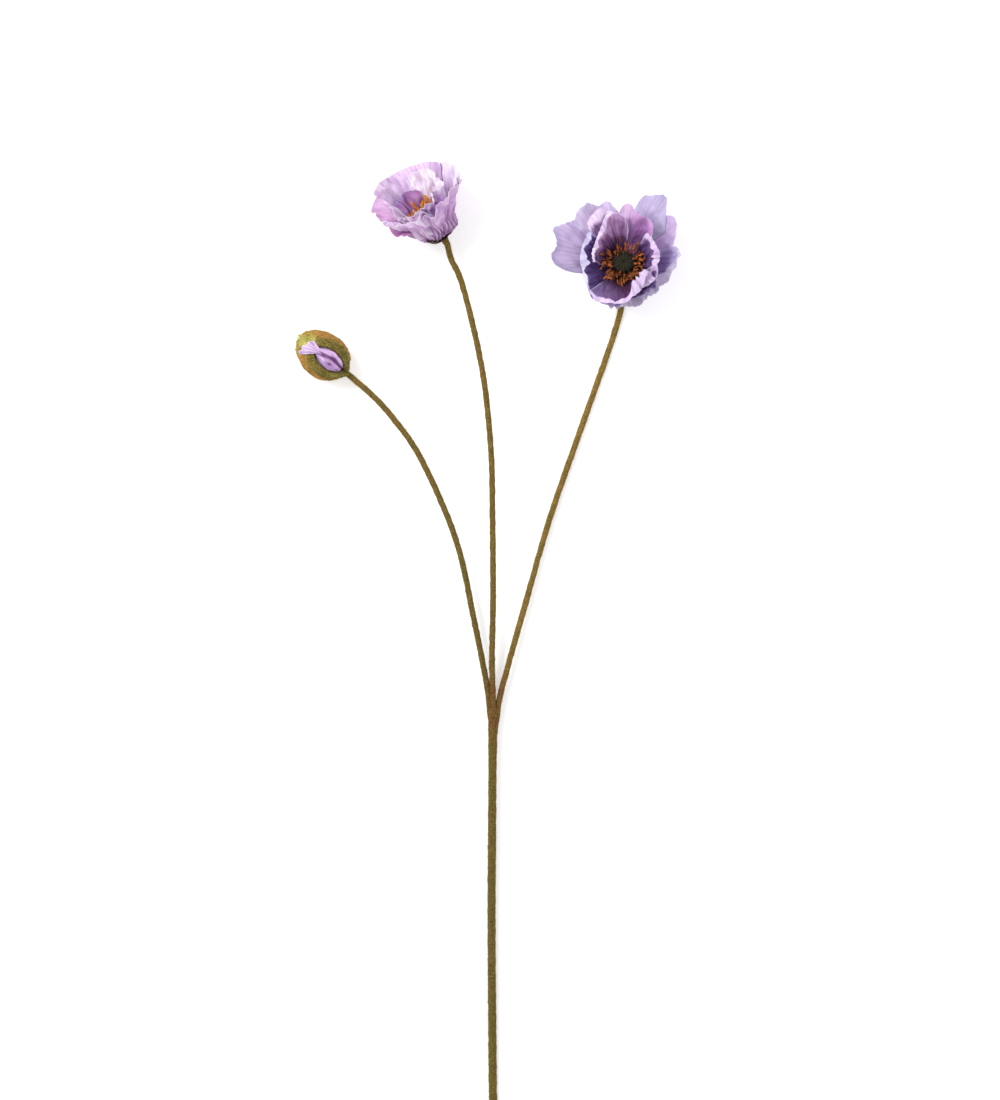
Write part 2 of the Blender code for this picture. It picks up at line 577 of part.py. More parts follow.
def build_half_bloom():
    axis = leaning(HALF_HEADING, HALF_TILT)
    head = add_frame("half_bloom", frame_of(place(HALF_BASE), axis, Vector((1, 0, 0))))
    add_calyx("half_calyx", HALF_OUTER, HALF_CALYX_CUP, HALF_CALYX_LOBE, HALF_CALYX_HEADING, head)
    add_petals("half_outer_petal", HALF_OUTER, HALF_OUTER_PETALS, HALF_PAINT, head)
    add_petals("half_inner_petal", HALF_INNER, HALF_INNER_PETALS, HALF_PAINT, head)
    collar_top = HALF_INNER.height + PETAL_THICKNESS / 2 + SEAT + COLLAR_HEIGHT + HALF_COLLAR_RISE
    add_pistil("half_pistil", HALF_PISTIL_WIDTH, collar_top, head)
    add_stamens("half_stamens", HALF_STAMEN_COUNT, HALF_STAMEN_TIERS, collar_top, head)


def bud_radius(share):
    """The bud's radius at a share of its length: an egg, fuller towards the stem."""
    share = np.clip(share, 0, 1)
    fullness = 1 + BUD_FULLNESS * np.cos(np.pi * share)
    return BUD_WIDTH / 2 * np.sqrt(np.clip(1 - (2 * share - 1) ** 2, 0, 1)) * fullness


def slit_half_width(share):
    """Half the gap between the sepals' edges on the bud's upper side, in metres."""
    inside = np.clip((share - SLIT_FROM) / (SLIT_TO - SLIT_FROM), 0, 1)
    notch = TIP_NOTCH * smoothstep((share - 0.9) / 0.09)
    return SEAM_HALF_GAP + notch + SLIT_HALF_WIDTH * np.sin(np.pi * inside) ** 0.8


def press_flat(points, frame):
    """Points of a piece in its own frame, with what would sink through the table pressed onto it."""
    turn = np.array(frame.to_3x3())
    origin = np.array(frame.translation)
    world = np.asarray(points) @ turn.T + origin
    world[:, 2] = np.maximum(world[:, 2], 0)
    return (world - origin) @ turn


def sepal(side):
    """One boat-shaped sepal, as a grid shell; side is 1 or -1."""
    first, last = math.acos(1 - 2 * SEPAL_FROM), math.acos(1 - 2 * SEPAL_TO)
    shares = 0.5 - 0.5 * np.cos(np.linspace(first, last, SEPAL_ROWS))
    skins = []
    for inset in (0, SEPAL_THICKNESS):
        radius = np.maximum(bud_radius(shares) - inset, 0.25 * MM)
        opening = np.arcsin(np.clip(slit_half_width(shares) / bud_radius(shares), 0, 0.8))
        closing = np.pi - np.minimum(SEAM_HALF_GAP / bud_radius(shares), 0.6)
        share_across = np.linspace(0, 1, SEPAL_COLUMNS)[:, None]
        turn = side * (opening + (closing - opening) * share_across)
        height = (shares - 0.5) * BUD_LENGTH * (1 - 2 * inset / BUD_LENGTH)
        height = np.broadcast_to(height, turn.shape)
        skins.append(np.stack([radius * np.cos(turn), radius * np.sin(turn), height], -1))
    return skins


def bud_core():
    """The crumpled petals inside the bud: two lobes, parted by a crease, swell out through the slit."""
    top = np.radians(np.linspace(-SLIT_ARC, SLIT_ARC, SLIT_SEGMENTS + 1))
    back = np.radians(np.linspace(SLIT_ARC, 360 - SLIT_ARC, BACK_SEGMENTS + 1))[1:-1]
    turns = np.concatenate([top, back])
    segments = len(turns)
    scale = 1 - 2 * CORE_INSET / BUD_LENGTH
    points = []
    for share in np.linspace(CORE_FROM, CORE_TO, CORE_RINGS):
        inner = bud_radius(share) - CORE_INSET
        height = (share - 0.5) * BUD_LENGTH * scale
        at = height / BUD_LENGTH + 0.5
        half = slit_half_width(at) - BULGE_CLEARANCE
        for turn in turns:
            side = abs(math.sin(turn)) * bud_radius(at) if math.cos(turn) > 0 else 1
            open_here = smoothstep((half - side) / BULGE_SHOULDER) if half > 0 else 0
            crease = LOBE_CREASE * math.exp(-((side / CREASE_WIDTH) ** 2)) * open_here
            r = max(inner + BULGE * open_here - crease, 0.6 * MM)
            points.append((r * math.cos(turn), r * math.sin(turn), height))
    faces = []
    for i in range(CORE_RINGS - 1):
        for j in range(segments):
            k = (j + 1) % segments
            a, b, c, d = i * segments + j, i * segments + k, (i + 1) * segments + k, (i + 1) * segments + j
            faces += [(a, b, c), (a, c, d)]
    bottom, last = len(points), (CORE_RINGS - 1) * segments
    points += [(0, 0, points[0][2]), (0, 0, points[last][2])]
    for j in range(segments):
        k = (j + 1) % segments
        faces += [(bottom, k, j), (bottom + 1, last + j, last + k)]
    return np.array(points), faces


def bud_fan_surface(columns, rows):
    """The middle surface of the pleated fan, which lies on the sepals between the slit's end and the bud's tip."""
    across, along = np.meshgrid(np.linspace(-1, 1, columns), np.linspace(0, 1, rows), indexing="ij")
    share = FAN_FROM + (FAN_TO - FAN_FROM) * along * (1 - 0.12 * across**2)
    half = FAN_NECK_HALF + (FAN_END_HALF - FAN_NECK_HALF) * along
    radius = bud_radius(share) + SEAT + FAN_OFF + FAN_PLEAT * along * np.cos(5 * np.pi * across)
    turn = across * half / bud_radius(share)
    return np.stack([radius * np.cos(turn), radius * np.sin(turn), (share - 0.5) * BUD_LENGTH], -1)


def bud_neck():
    """The twist of petal that joins the fan to the lobes through the slit's end."""
    low, high = bud_radius(0.6) - CORE_INSET - 2 * MM, bud_radius(FAN_FROM) + SEAT + FAN_OFF
    path = [(low, 0, 0.05 * BUD_LENGTH), (high - 1 * MM, 0, 0.12 * BUD_LENGTH), (high, 0, 0.19 * BUD_LENGTH)]
    return tube(path, [1.5 * MM, 1.3 * MM, 0.9 * MM], STEM_SIDES)


def build_bud():
    axis = leaning(BUD_HEADING, BUD_TILT)
    matrix = frame_of(place(BUD_CENTRE), axis, Vector((0, 0, 1)))
    head = add_frame("bud", matrix)
    for side, name in ((1, "bud_sepal_1"), (-1, "bud_sepal_2")):
        outer, inner = sepal(side)
        points, faces = shell_solid(outer, inner)
        if side < 0:
            faces = [(a, c, b) for a, b, c in faces]
        add_mesh(name, press_flat(points, matrix), faces, SEPAL_PAINT, head)
    fan = sheet_solid(bud_fan_surface(FAN_COLUMNS, FAN_ROWS), FAN_THICKNESS)
    union("bud_petals", [bud_core(), fan, bud_neck()], HALF_PAINT, head)


def main():
    clear_scene()
    build_stem()
    build_open_bloom()
    build_half_bloom()
    build_bud()


main()
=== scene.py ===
"""Looks of a cut poppy spray that lies on a table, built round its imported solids.

Metres, in the frame of the solids: +Z is up, +Y runs up the stem and the heads face up. The cut end, the
routes and the whorls are those of the solids, and the petals' edges follow theirs, so that each fine piece
lies where its solid does.
"""

import math
from collections import namedtuple

import bpy
import numpy as np
from mathutils import Matrix, Vector


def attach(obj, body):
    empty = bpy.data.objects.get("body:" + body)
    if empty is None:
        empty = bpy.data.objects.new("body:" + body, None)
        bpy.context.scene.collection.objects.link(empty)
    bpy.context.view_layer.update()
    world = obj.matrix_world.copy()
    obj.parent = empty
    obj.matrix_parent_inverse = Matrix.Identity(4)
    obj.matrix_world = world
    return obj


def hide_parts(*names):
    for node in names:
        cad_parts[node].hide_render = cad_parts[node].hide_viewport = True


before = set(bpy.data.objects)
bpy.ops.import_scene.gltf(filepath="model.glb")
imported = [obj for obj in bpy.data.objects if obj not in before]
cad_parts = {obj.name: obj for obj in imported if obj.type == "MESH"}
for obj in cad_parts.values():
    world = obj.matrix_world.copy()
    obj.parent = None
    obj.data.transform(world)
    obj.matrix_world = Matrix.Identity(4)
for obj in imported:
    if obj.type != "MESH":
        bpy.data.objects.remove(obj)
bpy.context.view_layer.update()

MM = 0.001
BODY = "root"

# The solids' own numbers
CUT_END = Vector((2.46, -300.42, 0.01)) * MM
SEAT = 0.3 * MM
STALK_RADIUS = 2.5 * MM
FORK_RADIUS = 2.9 * MM
BRANCH_RADIUS = 1.8 * MM
STALK_ROUTE = [
    (0, 0, 2.31), (-0.6, 43, 2.8), (-1.2, 118, 4.2), (-0.9, 190, 5.6), (-0.5, 240, 6.6), (0, 268, 7.2),
]
BUD_ROUTE = [
    (-1.2, 244, 6.4), (-3.0, 268, 7.0), (-7.1, 291.4, 7.6), (-12.1, 316.2, 8.2), (-23.3, 365.8, 9.0),
    (-44.6, 415.4, 9.4), (-61.4, 440.2, 9.4), (-74.0, 454.4, 9.4), (-86.0, 465.0, 9.7), (-91.6, 469.7, 10.4),
]
HALF_ROUTE = [
    (0.2, 244, 7.2), (-0.3, 268, 8.0), (-0.9, 291.4, 8.6), (-0.3, 328.6, 9.4), (-0.6, 378.2, 10.2),
    (-1.2, 415.4, 10.6), (-4.3, 452.6, 10.6), (-8.1, 477.4, 10.4), (-13.6, 502.2, 10.2), (-20.2, 527, 10.2),
    (-26.2, 540.0, 11.2),
]
OPEN_ROUTE = [
    (1.6, 244, 6.2), (3.0, 263.5, 6.2), (8.3, 285, 5.8), (20.5, 328.6, 4.8), (34.7, 378.2, 3.8),
    (51.8, 427.8, 2.8), (69.4, 477.4, 1.9), (77.5, 502.2, 1.66), (80.6, 518, 1.8), (81.2, 527, 4.0),
    (81.1, 532.6, 8.0),
]
FORK_FROM, FORK_SWELL = 0.8, 0.15
RECEPTACLE_RADIUS = 2.5 * MM
RECEPTACLE_LENGTH = 5 * MM
OPEN_BASE = (80.6, 536.0, 14.2)
OPEN_HEADING, OPEN_TILT = 95, 8
HALF_BASE = (-32.0, 554.2, 16.3)
HALF_HEADING, HALF_TILT = 124, 60
BUD_CENTRE = (-106.0, 480.6, 13.7)
BUD_HEADING, BUD_TILT = 143, 80
CALYX_THICKNESS = 1.0 * MM
CALYX_HEIGHT = -1.5 * MM
CLAW_RADIUS = 3.7 * MM
PISTIL_FOOT_RADIUS = CLAW_RADIUS - SEAT - 0.1 * MM
SOLID_PETAL_THICKNESS = 0.7 * MM


def even(heading, spread, *lengths):
    """Marks spaced evenly across a petal, from its right side to its left."""
    places = np.linspace(heading - spread, heading + spread, len(lengths))
    return list(zip(places, lengths))


# A whorl is the surface that a layer of petals lies on, as in the solids. claw, belly and lip are its leans
# in degrees, waves are its ripples, and sway and curl are what belly and lip gain round the bloom
Whorl = namedtuple("Whorl", "height claw belly lip bend lip_length sway waves curl")
# Where a petal stands, which of its sides lie over its neighbours, and its edge. reach and rim are marks
# round the edge, each (degrees round the bloom, mm): how far it reaches from the bloom's axis and how long
# the petal is there. roll is the width in mm of the edge's pale rolled band. Without reach, the whorl's own
# lean is kept; without rim, the petal is as long as its reach needs
Petal = namedtuple("Petal", "heading spread left right rim reach roll", defaults=(None, None, None))
LIFT_OVER, LIFT_UNDER = 1.1 * MM, -0.7 * MM
LIFT_LENGTH = 10 * MM
SWAY_LENGTH = 15 * MM
CLAW_SPREAD_SHARE = 0.62
WIDEN_LENGTH = 14 * MM
PETAL_REACH = 45 * MM
CURVE_STEPS = 32
# How many times round a bloom its petals' rolled bands are gathered narrow
GATHERS = 22

OPEN_OUTER = Whorl(
    height=0.8 * MM, claw=84, belly=62, lip=84, bend=10.5 * MM, lip_length=9 * MM,
    sway=[(1, 15, 110)],
    waves=[(7, 2.2, 20), (12, 1.2, 140)],
    curl=[(5, 14, 60)],
)
OPEN_OUTER_PETALS = [
    Petal(heading=171, spread=34, left=1, right=-1, reach=[
        (137, 40), (144, 43.8), (149, 46), (152.5, 48), (156, 47.5), (159, 45), (163, 43.5), (168, 43),
        (173.5, 44.8), (178, 44), (182, 42), (186, 38.5), (190, 33.5), (196, 26.5), (205, 24),
    ]),
    Petal(heading=115, spread=27, left=1, right=1, reach=[
        (88, 28), (95, 32), (99, 35.8), (102, 39), (106, 40.3), (110, 39.8), (113.5, 39.2), (117, 41.5),
        (121, 44), (124.5, 43.6), (128.5, 44.2), (132, 43.4), (137, 41), (142, 39),
    ]),
    Petal(heading=62, spread=24, left=-1, right=1, reach=[
        (38, 33), (46, 38), (52, 43.5), (56, 48), (59, 49.2), (63, 47.4), (67, 45.2), (70, 45),
        (73, 44.6), (76, 41), (79, 35), (86, 30),
    ]),
    Petal(heading=31, spread=22, left=-1, right=-1, reach=[
        (9, 27), (16, 31), (21, 33.4), (27, 36.2), (31, 37.4), (35, 40.4), (39.5, 41.9), (44, 41.4),
        (48, 39.5), (53, 36),
    ]),
    Petal(heading=-24, spread=44, left=1, right=1, reach=[
        (-68, 25), (-60, 26), (-52, 27.2), (-42, 28.2), (-35, 27), (-27, 28.8), (-14, 30.7), (-7, 32.5),
        (-1, 32.8), (6, 35.2), (13, 34.2), (20, 32),
    ], roll=[
        (-68, 3), (-52, 3), (-42, 4), (-36, 2.8), (-29, 6), (-20, 7.5), (-12, 5.6), (-6, 4), (0, 2),
        (6, 0.9), (20, 0.5),
    ]),
    Petal(heading=-106, spread=50, left=-1, right=-1, reach=[
        (-156, 24), (-144, 26), (-131, 28), (-121, 29.3), (-113, 28.8), (-108, 29.6), (-104, 31.6),
        (-101, 29), (-98, 31), (-93, 28), (-88, 27.4), (-79, 27.8), (-68, 28), (-60, 26.5), (-56, 25),
    ], roll=[
        (-156, 0), (-112, 0), (-97, 0), (-91, 3.2), (-80, 6.5), (-68, 7.2), (-56, 5.5),
    ]),
]
OPEN_MIDDLE = Whorl(
    height=2.5 * MM, claw=81, belly=40, lip=90, bend=11 * MM, lip_length=5 * MM,
    sway=[(2, 4, -100)],
    waves=[(9, 1.2, 70), (13, 0.9, 200)],
    curl=[(11, 16, 20)],
)
OPEN_MIDDLE_PETALS = [
    Petal(heading=184, spread=48, left=-1, right=-1, rim=[(136, 30), (160, 30), (190, 31), (232, 33)], reach=[
        (136, 27), (140, 28.6), (149, 27.2), (162, 27), (173, 27), (183, 26.8), (195, 26.4), (206, 27.6),
        (216, 28.2), (225, 30), (232, 31.5),
    ], roll=[
        (136, 0.6), (141, 3.2), (147, 4.4), (155, 3), (162, 1.4), (171, 3.6), (180, 6), (188, 4.6),
        (195, 1.8), (204, 2.4), (212, 1.8), (222, 1.6), (232, 0.8),
    ]),
    Petal(heading=118, spread=22, left=1, right=-1, rim=[(96, 33), (113, 39), (140, 35)], reach=[
        (96, 27), (102, 30), (108, 32.6), (113.5, 34.6), (122, 34.2), (129, 33.2), (134, 31.5), (140, 28),
    ], roll=[
        (96, 0.5), (102, 2), (108, 4), (114, 5.5), (122, 6.2), (128, 5), (134, 2.5), (140, 1),
    ]),
    Petal(heading=68, spread=32, left=1, right=-1, rim=[
        (36, 31), (60, 33), (86, 38), (93, 34), (100, 28),
    ], reach=[
        (36, 21), (44, 24.6), (49, 27.6), (55, 29.2), (65, 29.2), (71, 28.6), (76, 29.6), (81, 33),
        (85, 34.8), (89, 34.6), (93, 32.5), (97, 29.5), (100, 27),
    ], roll=[(36, 0), (100, 0)]),
    Petal(heading=-38, spread=39, left=1, right=1, rim=[(-77, 27.5), (1, 27)], reach=[
        (-77, 25.5), (-66, 25), (-55, 24.5), (-40, 24), (-25, 22), (-12, 21), (1, 20),
    ], roll=[(-77, 0), (1, 0)]),
]
OPEN_INNER = Whorl(
    height=4.2 * MM, claw=82, belly=18, lip=94, bend=12 * MM, lip_length=6 * MM,
    sway=[(2, 9, 90), (1, 6, -10)],
    waves=[(9, 0.6, 40), (13, 0.5, 200)],
    curl=[(13, 14, 60)],
)
OPEN_INNER_PETALS = [
    Petal(heading=134, spread=54, left=1, right=1, rim=[
        (80, 29), (92, 35), (112, 36), (135, 32), (188, 28),
    ], reach=[
        (80, 17.5), (85, 22.8), (90, 26.2), (97, 27.8), (105, 28.6), (112, 28.6), (117, 27), (122, 25),
        (128, 23.2), (141, 20.9), (156, 20), (173, 19.6), (188, 19),
    ], roll=[
        (80, 0), (104, 0), (110, 1.6), (115, 3.6), (121, 3.8), (128, 3), (137, 1.7), (146, 1.5),
        (155, 2.8), (165, 1.4), (188, 0.8),
    ]),
    Petal(heading=-82, spread=54, left=1, right=1, rim=[(-136, 34), (-105, 34), (-66, 32), (-28, 28)], reach=[
        (-136, 29.6), (-128, 31), (-118, 30.8), (-108, 29.4), (-98, 28.8), (-86, 27.2), (-77, 24.8),
        (-66, 23), (-55, 20.6), (-44, 18.6), (-28, 17),
    ], roll=[
        (-136, 0.6), (-127, 1.8), (-118, 2.8), (-109, 2.2), (-101, 1.6), (-93, 2.6), (-84, 3), (-75, 6),
        (-66, 8), (-56, 6.5), (-44, 4), (-28, 2),
    ]),
    Petal(heading=-8, spread=56, left=1, right=-1, rim=[(-64, 28), (-20, 31), (48, 29)], reach=[
        (-64, 20.6), (-55, 21.4), (-44, 22.4), (-30, 23), (-19, 22.4), (-12, 21), (-5, 21.9), (4, 22.5),
        (16, 21.9), (33, 21.4), (48, 21),
    ], roll=[
        (-64, 4), (-44, 6.5), (-30, 8), (-20, 6.5), (-12, 3.4), (-4, 4.4), (4, 5), (12, 2.8), (20, 3.6),
        (33, 2.4), (41, 1.8), (48, 0.7),
    ]),
]
HALF_OUTER = Whorl(
    height=0.8 * MM, claw=66, belly=30, lip=42, bend=8 * MM, lip_length=16 * MM,
    sway=[(1, 7, 75)],
    waves=[(8, 1.2, 10), (13, 0.35, 100)],
    curl=[(7, 6, 40)],
)
HALF_OUTER_PETALS = [
    Petal(heading=246, spread=44, left=1, right=1, rim=even(246, 44, 39, 40, 40, 39.5, 39, 38.5, 38.5)),
    Petal(heading=320, spread=43, left=-1, right=-1, rim=even(320, 43, 35.5, 38, 39, 40, 41, 41.5, 40)),
    Petal(heading=28, spread=44, left=-1, right=1, rim=even(28, 44, 42, 42.5, 42.5, 43, 44, 43, 40)),
    Petal(heading=102, spread=44, left=-1, right=1, rim=even(102, 44, 43, 45, 46, 47.5, 49, 49.5, 48)),
    Petal(heading=176, spread=44, left=-1, right=1, rim=even(176, 44, 43, 45, 44.5, 42, 38, 32, 26)),
]
HALF_INNER = Whorl(
    height=3.9 * MM, claw=64, belly=13, lip=25, bend=8.5 * MM, lip_length=12 * MM,
    sway=[(1, 4, 90)],
    waves=[(9, 1.2, 10), (14, 0.7, 100)],
    curl=[(7, 8, 40)],
)
HALF_INNER_PETALS = [
    Petal(heading=225, spread=52, left=1, right=1, rim=even(225, 52, 39, 35, 29, 28, 29, 30, 31)),
    Petal(heading=318, spread=52, left=-1, right=-1, rim=even(318, 52, 31, 32, 33, 34, 35, 34, 31)),
    Petal(heading=56, spread=52, left=-1, right=1, rim=even(56, 52, 28, 32, 35, 38, 39, 39, 36)),
    Petal(heading=142, spread=48, left=-1, right=1, rim=even(142, 48, 27, 30, 31.5, 31.5, 30, 27, 22)),
]
# The lobed cup under a bloom: how far it reaches, how much further its lobes do, and where one of them points
Calyx = namedtuple("Calyx", "cup lobe heading")
OPEN_CALYX = Calyx(5.5 * MM, 8 * MM, 100)
HALF_CALYX = Calyx(4.6 * MM, 9 * MM, 240)
CALYX_LOBES = 3
PISTIL_PROFILE = [(4.7, 1.2), (5.2, 3.4), (5.2, 5.4), (6.5, 6.6), (6.2, 7.8), (3.4, 8.7)]
PISTIL_RAYS = 12
COLLAR_INNER, COLLAR_OUTER = PISTIL_FOOT_RADIUS + SEAT, 5.2 * MM
COLLAR_HEIGHT = 1.5 * MM
OPEN_COLLAR_TOP = OPEN_INNER.height + SOLID_PETAL_THICKNESS / 2 + SEAT + COLLAR_HEIGHT + 0.7 * MM
HALF_COLLAR_TOP = HALF_INNER.height + SOLID_PETAL_THICKNESS / 2 + SEAT + COLLAR_HEIGHT + 1.2 * MM
BUD_LENGTH, BUD_WIDTH = 35.6 * MM, 28 * MM
BUD_FULLNESS = 0.06
SEPAL_THICKNESS = 1.6 * MM
SEPAL_FROM, SEPAL_TO = 0.006, 0.998
SEAM_HALF_GAP = 0.02 * MM
TIP_NOTCH = 0.2 * MM
SLIT_FROM, SLIT_TO = 0.03, 0.74
SLIT_HALF_WIDTH = 6.6 * MM
SLIT_BLUNTNESS = 0.55
CORE_INSET = 2.8 * MM
CORE_FROM, CORE_TO = 0.03, 0.985
SLIT_ARC = 52
BULGE, BULGE_SHOULDER, BULGE_CLEARANCE = 4.4 * MM, 1.5 * MM, 0.5 * MM
CREASE_DEPTH, CREASE_WIDTH, CREASE_SWAY = 2.6 * MM, 0.8 * MM, 1.3 * MM
LOBE_FOLD = 0.75 * MM
FAN_FROM, FAN_TO = 0.655, 0.90
FAN_NECK_HALF, FAN_END_HALF = 1.2 * MM, 5.4 * MM
FAN_OFF = 0.9 * MM
FAN_RISE = 0.5 * MM
# The fan leans towards one side as it leaves the waist
FAN_SIDE, FAN_SWAY = -1, 2.2 * MM
FAN_PLEAT, FAN_THICKNESS = 0.5 * MM, 0.4 * MM

# How much finer this model is than the solids, and how much closer a calyx lies to the petals
PETAL_THICKNESS = 0.3 * MM
CALYX_CLING = 0.7 * MM
ROUTE_STEP = 2.2 * MM
STEM_SIDES = 22
# The length in mm over which a branch grows out of the stalk
BRANCH_START = 14
# Small unevenness: (wavelength, size) in mm. The sepals' margin round the slit is SEPAL_MARGIN mm proud
STEM_LUMPS = [(5, 0.07), (2.2, 0.05)]
SEPAL_LUMPS = [(7, 0.14), (3, 0.08)]
SEPAL_MARGIN = 0.35
# How light a skin is where nothing else says, from 0 to 1
CALYX_SHADE, COLLAR_SHADE, DOWN_SHADE = 0.4, 0.05, 0.8

# Folds of a layer's petals, shared by neighbours so that they nest. pleats are (times round, size, run where
# they start, run where they fade) and crumples are (wavelength, size), with lengths in mm. ragged is the
# rim's own raggedness, the crumple shade share is how far the crumples get the pleats' painted shade in their
# valleys and painted highlight on their crests, and drawn is small where they are drawn out along the petal
Folds = namedtuple("Folds", "pleats crumples ragged columns rows tinted drawn", defaults=(0, 0.8))
OPEN_OUTER_FOLDS = Folds([(23, 0.2, 6, 60), (41, 0.1, 12, 60)], [(16, 0.8), (8, 0.25)], 0.3, 96, 58)
OPEN_MIDDLE_FOLDS = Folds([(21, 0.2, 5, 60), (43, 0.1, 12, 60)], [(11, 0.4), (6, 0.15)], 0.2, 92, 54)
OPEN_INNER_FOLDS = Folds([(17, 0.22, 5, 60), (37, 0.1, 12, 60)], [(11, 0.4), (6, 0.15)], 0.2, 108, 62)
HALF_OUTER_FOLDS = Folds(
    [(31, 0.9, 1, 26), (22, 0.35, 12, 60)], [(10, 1.15), (5, 0.4)], 0.15, 104, 60, 0.6, 0.4,
)
HALF_INNER_FOLDS = Folds(
    [(26, 0.5, 3, 40), (16, 0.6, 10, 60)], [(10, 0.9), (5, 0.3)], 0.15, 88, 50, 0.6, 0.45,
)

# Relief is a sum of this many random waves for each wavelength
RIPPLE_WAVES = 6
# Petals that come closer to the table than this are pressed into what is left
PRESS_HEIGHT = 1 * MM


def place(point):
    """A point given in mm from the cut end, in the frame."""
    return CUT_END + Vector(point) * MM


def leaning(heading, tilt):
    """The direction that leans tilt degrees from straight up, towards heading degrees from +X."""
    h, t = math.radians(heading), math.radians(tilt)
    return Vector((math.sin(t) * math.cos(h), math.sin(t) * math.sin(h), math.cos(t)))


def frame_of(origin, axis, face):
    """The matrix of a frame at origin whose z runs along axis and whose x is as near face as it can be."""
    x = (face - axis * face.dot(axis)).normalized()
    y = axis.cross(x)
    return Matrix.Translation(origin) @ Matrix((x, y, axis)).transposed().to_4x4()


def moved(points, matrix):
    """Points of a head's own frame, where they lie on the table."""
    turn, origin = np.array(matrix.to_3x3()), np.array(matrix.translation)
    return np.asarray(points).reshape(-1, 3) @ turn.T + origin


def laid(points):
    """Points lower than PRESS_HEIGHT, or below the table, pressed into that height over it."""
    height = points[:, 2] / PRESS_HEIGHT
    points[:, 2] = np.where(height < 1, np.exp(np.minimum(height, 1) - 1), height) * PRESS_HEIGHT
    return points


def smoothstep(x):
    x = np.clip(x, 0, 1)
    return x * x * (3 - 2 * x)


def ripples(seed, places, terms, creased=False):
    """Random relief at places of one to three coordinates. Terms are (wavelength, size)."""
    rng = np.random.default_rng(seed)
    total = np.zeros(places.shape[:-1])
    for wavelength, size in terms:
        for _ in range(RIPPLE_WAVES):
            way = rng.normal(size=places.shape[-1])
            way *= 2 * np.pi / wavelength / np.linalg.norm(way) * rng.uniform(0.7, 1.4)
            wave = np.sin(places @ way + rng.uniform(0, 2 * np.pi))
            if creased:
                wave = np.arcsin(0.97 * wave) * 0.8
            total += size * math.sqrt(2 / RIPPLE_WAVES) * wave
    return total


def ring_sum(terms, turn):
    """The sum of waves that close on themselves round a ring. Terms are (times round, size, phase)."""
    return sum(size * np.cos(times * turn - math.radians(phase)) for times, size, phase in terms)


def ring_turns(count):
    """Angles spaced evenly round a ring."""
    return np.arange(count) * 2 * np.pi / count


def round_point(radius, turn, height):
    """Points at a radius from the z axis, a turn round it and a height along it."""
    return np.stack(np.broadcast_arrays(radius * np.cos(turn), radius * np.sin(turn), height), -1)


def smooth_route(route, steps):
    """A smooth curve through the points of a route, with steps points in each stretch."""
    p = np.array(route, float)
    p = np.vstack([2 * p[0] - p[1], p, 2 * p[-1] - p[-2]])
    out = []
    for i, count in enumerate(steps):
        a, b, c, d = p[i : i + 4]
        for t in np.arange(count) / count:
            bend = (2 * a - 5 * b + 4 * c - d) * t**2 + (3 * b - a - 3 * c + d) * t**3
            out.append(0.5 * (2 * b + (c - a) * t + bend))
    out.append(p[-2])
    return np.array(out)


def add_mesh(name, points, faces, look, marks=None, sharp=60):
    """A piece from points and arrays of faces, each (count, corners).

    marks are values at its points, by name. Edges that turn by more than sharp degrees stay crisp.
    """
    mesh = bpy.data.meshes.new(name)
    points = np.asarray(points, np.float32)
    mesh.vertices.add(len(points))
    mesh.vertices.foreach_set("co", points.ravel())
    corners = np.concatenate([np.asarray(f, np.int32).ravel() for f in faces])
    totals = np.concatenate([np.full(len(f), np.shape(f)[1], np.int32) for f in faces])
    mesh.loops.add(len(corners))
    mesh.loops.foreach_set("vertex_index", corners)
    mesh.polygons.add(len(totals))
    starts = np.concatenate([[0], np.cumsum(totals)[:-1]])
    mesh.polygons.foreach_set("loop_start", starts.astype(np.int32))
    mesh.update(calc_edges=True)
    mesh.validate()
    set_marks(mesh, marks or {})
    mesh.materials.append(look)
    mesh.shade_smooth()
    if sharp:
        mesh.set_sharp_from_angle(angle=math.radians(sharp))
    obj = bpy.data.objects.new(name, mesh)
    bpy.context.scene.collection.objects.link(obj)
    return obj


def set_marks(mesh, marks):
    for mark, values in marks.items():
        values = np.asarray(values, np.float32)
        kind, key = ("FLOAT_VECTOR", "vector") if values.ndim == 2 else ("FLOAT", "value")
        mesh.attributes.new(mark, kind, "POINT").data.foreach_set(key, values.ravel())


def values_of(items, key, kind=np.float32):
    """Three numbers for each of a mesh's points, triangles or marks."""
    values = np.empty(len(items) * 3, kind)
    items.foreach_get(key, values)
    return values.reshape(-1, 3)


def apply_modifiers(obj):
    """Makes what the modifiers of a piece give its own mesh."""
    bpy.context.view_layer.update()
    mesh = bpy.data.meshes.new_from_object(obj.evaluated_get(bpy.context.evaluated_depsgraph_get()))
    obj.modifiers.clear()
    obj.data = mesh


def stand_for(obj, slot, *nodes):
    """Rides the piece on the spray, and hides the solids that it stands for."""
    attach(obj, BODY)
    if nodes:
        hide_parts(*nodes)


def shell(outer, inner):
    """The points and faces of a closed shell between two like grids of points."""
    columns, rows, _ = outer.shape
    at = np.arange(columns * rows).reshape(columns, rows)
    other = columns * rows
    quads = np.stack([at[:-1, :-1], at[1:, :-1], at[1:, 1:], at[:-1, 1:]], -1).reshape(-1, 4)
    edge = np.concatenate([at[:, 0], at[-1, 1:], at[-2::-1, -1], at[0, -2:0:-1]])
    after = np.roll(edge, -1)
    wall = np.stack([edge, edge + other, after + other, after], -1)
    faces = [quads, quads[:, ::-1] + other, wall]
    return np.vstack([outer.reshape(-1, 3), inner.reshape(-1, 3)]), faces


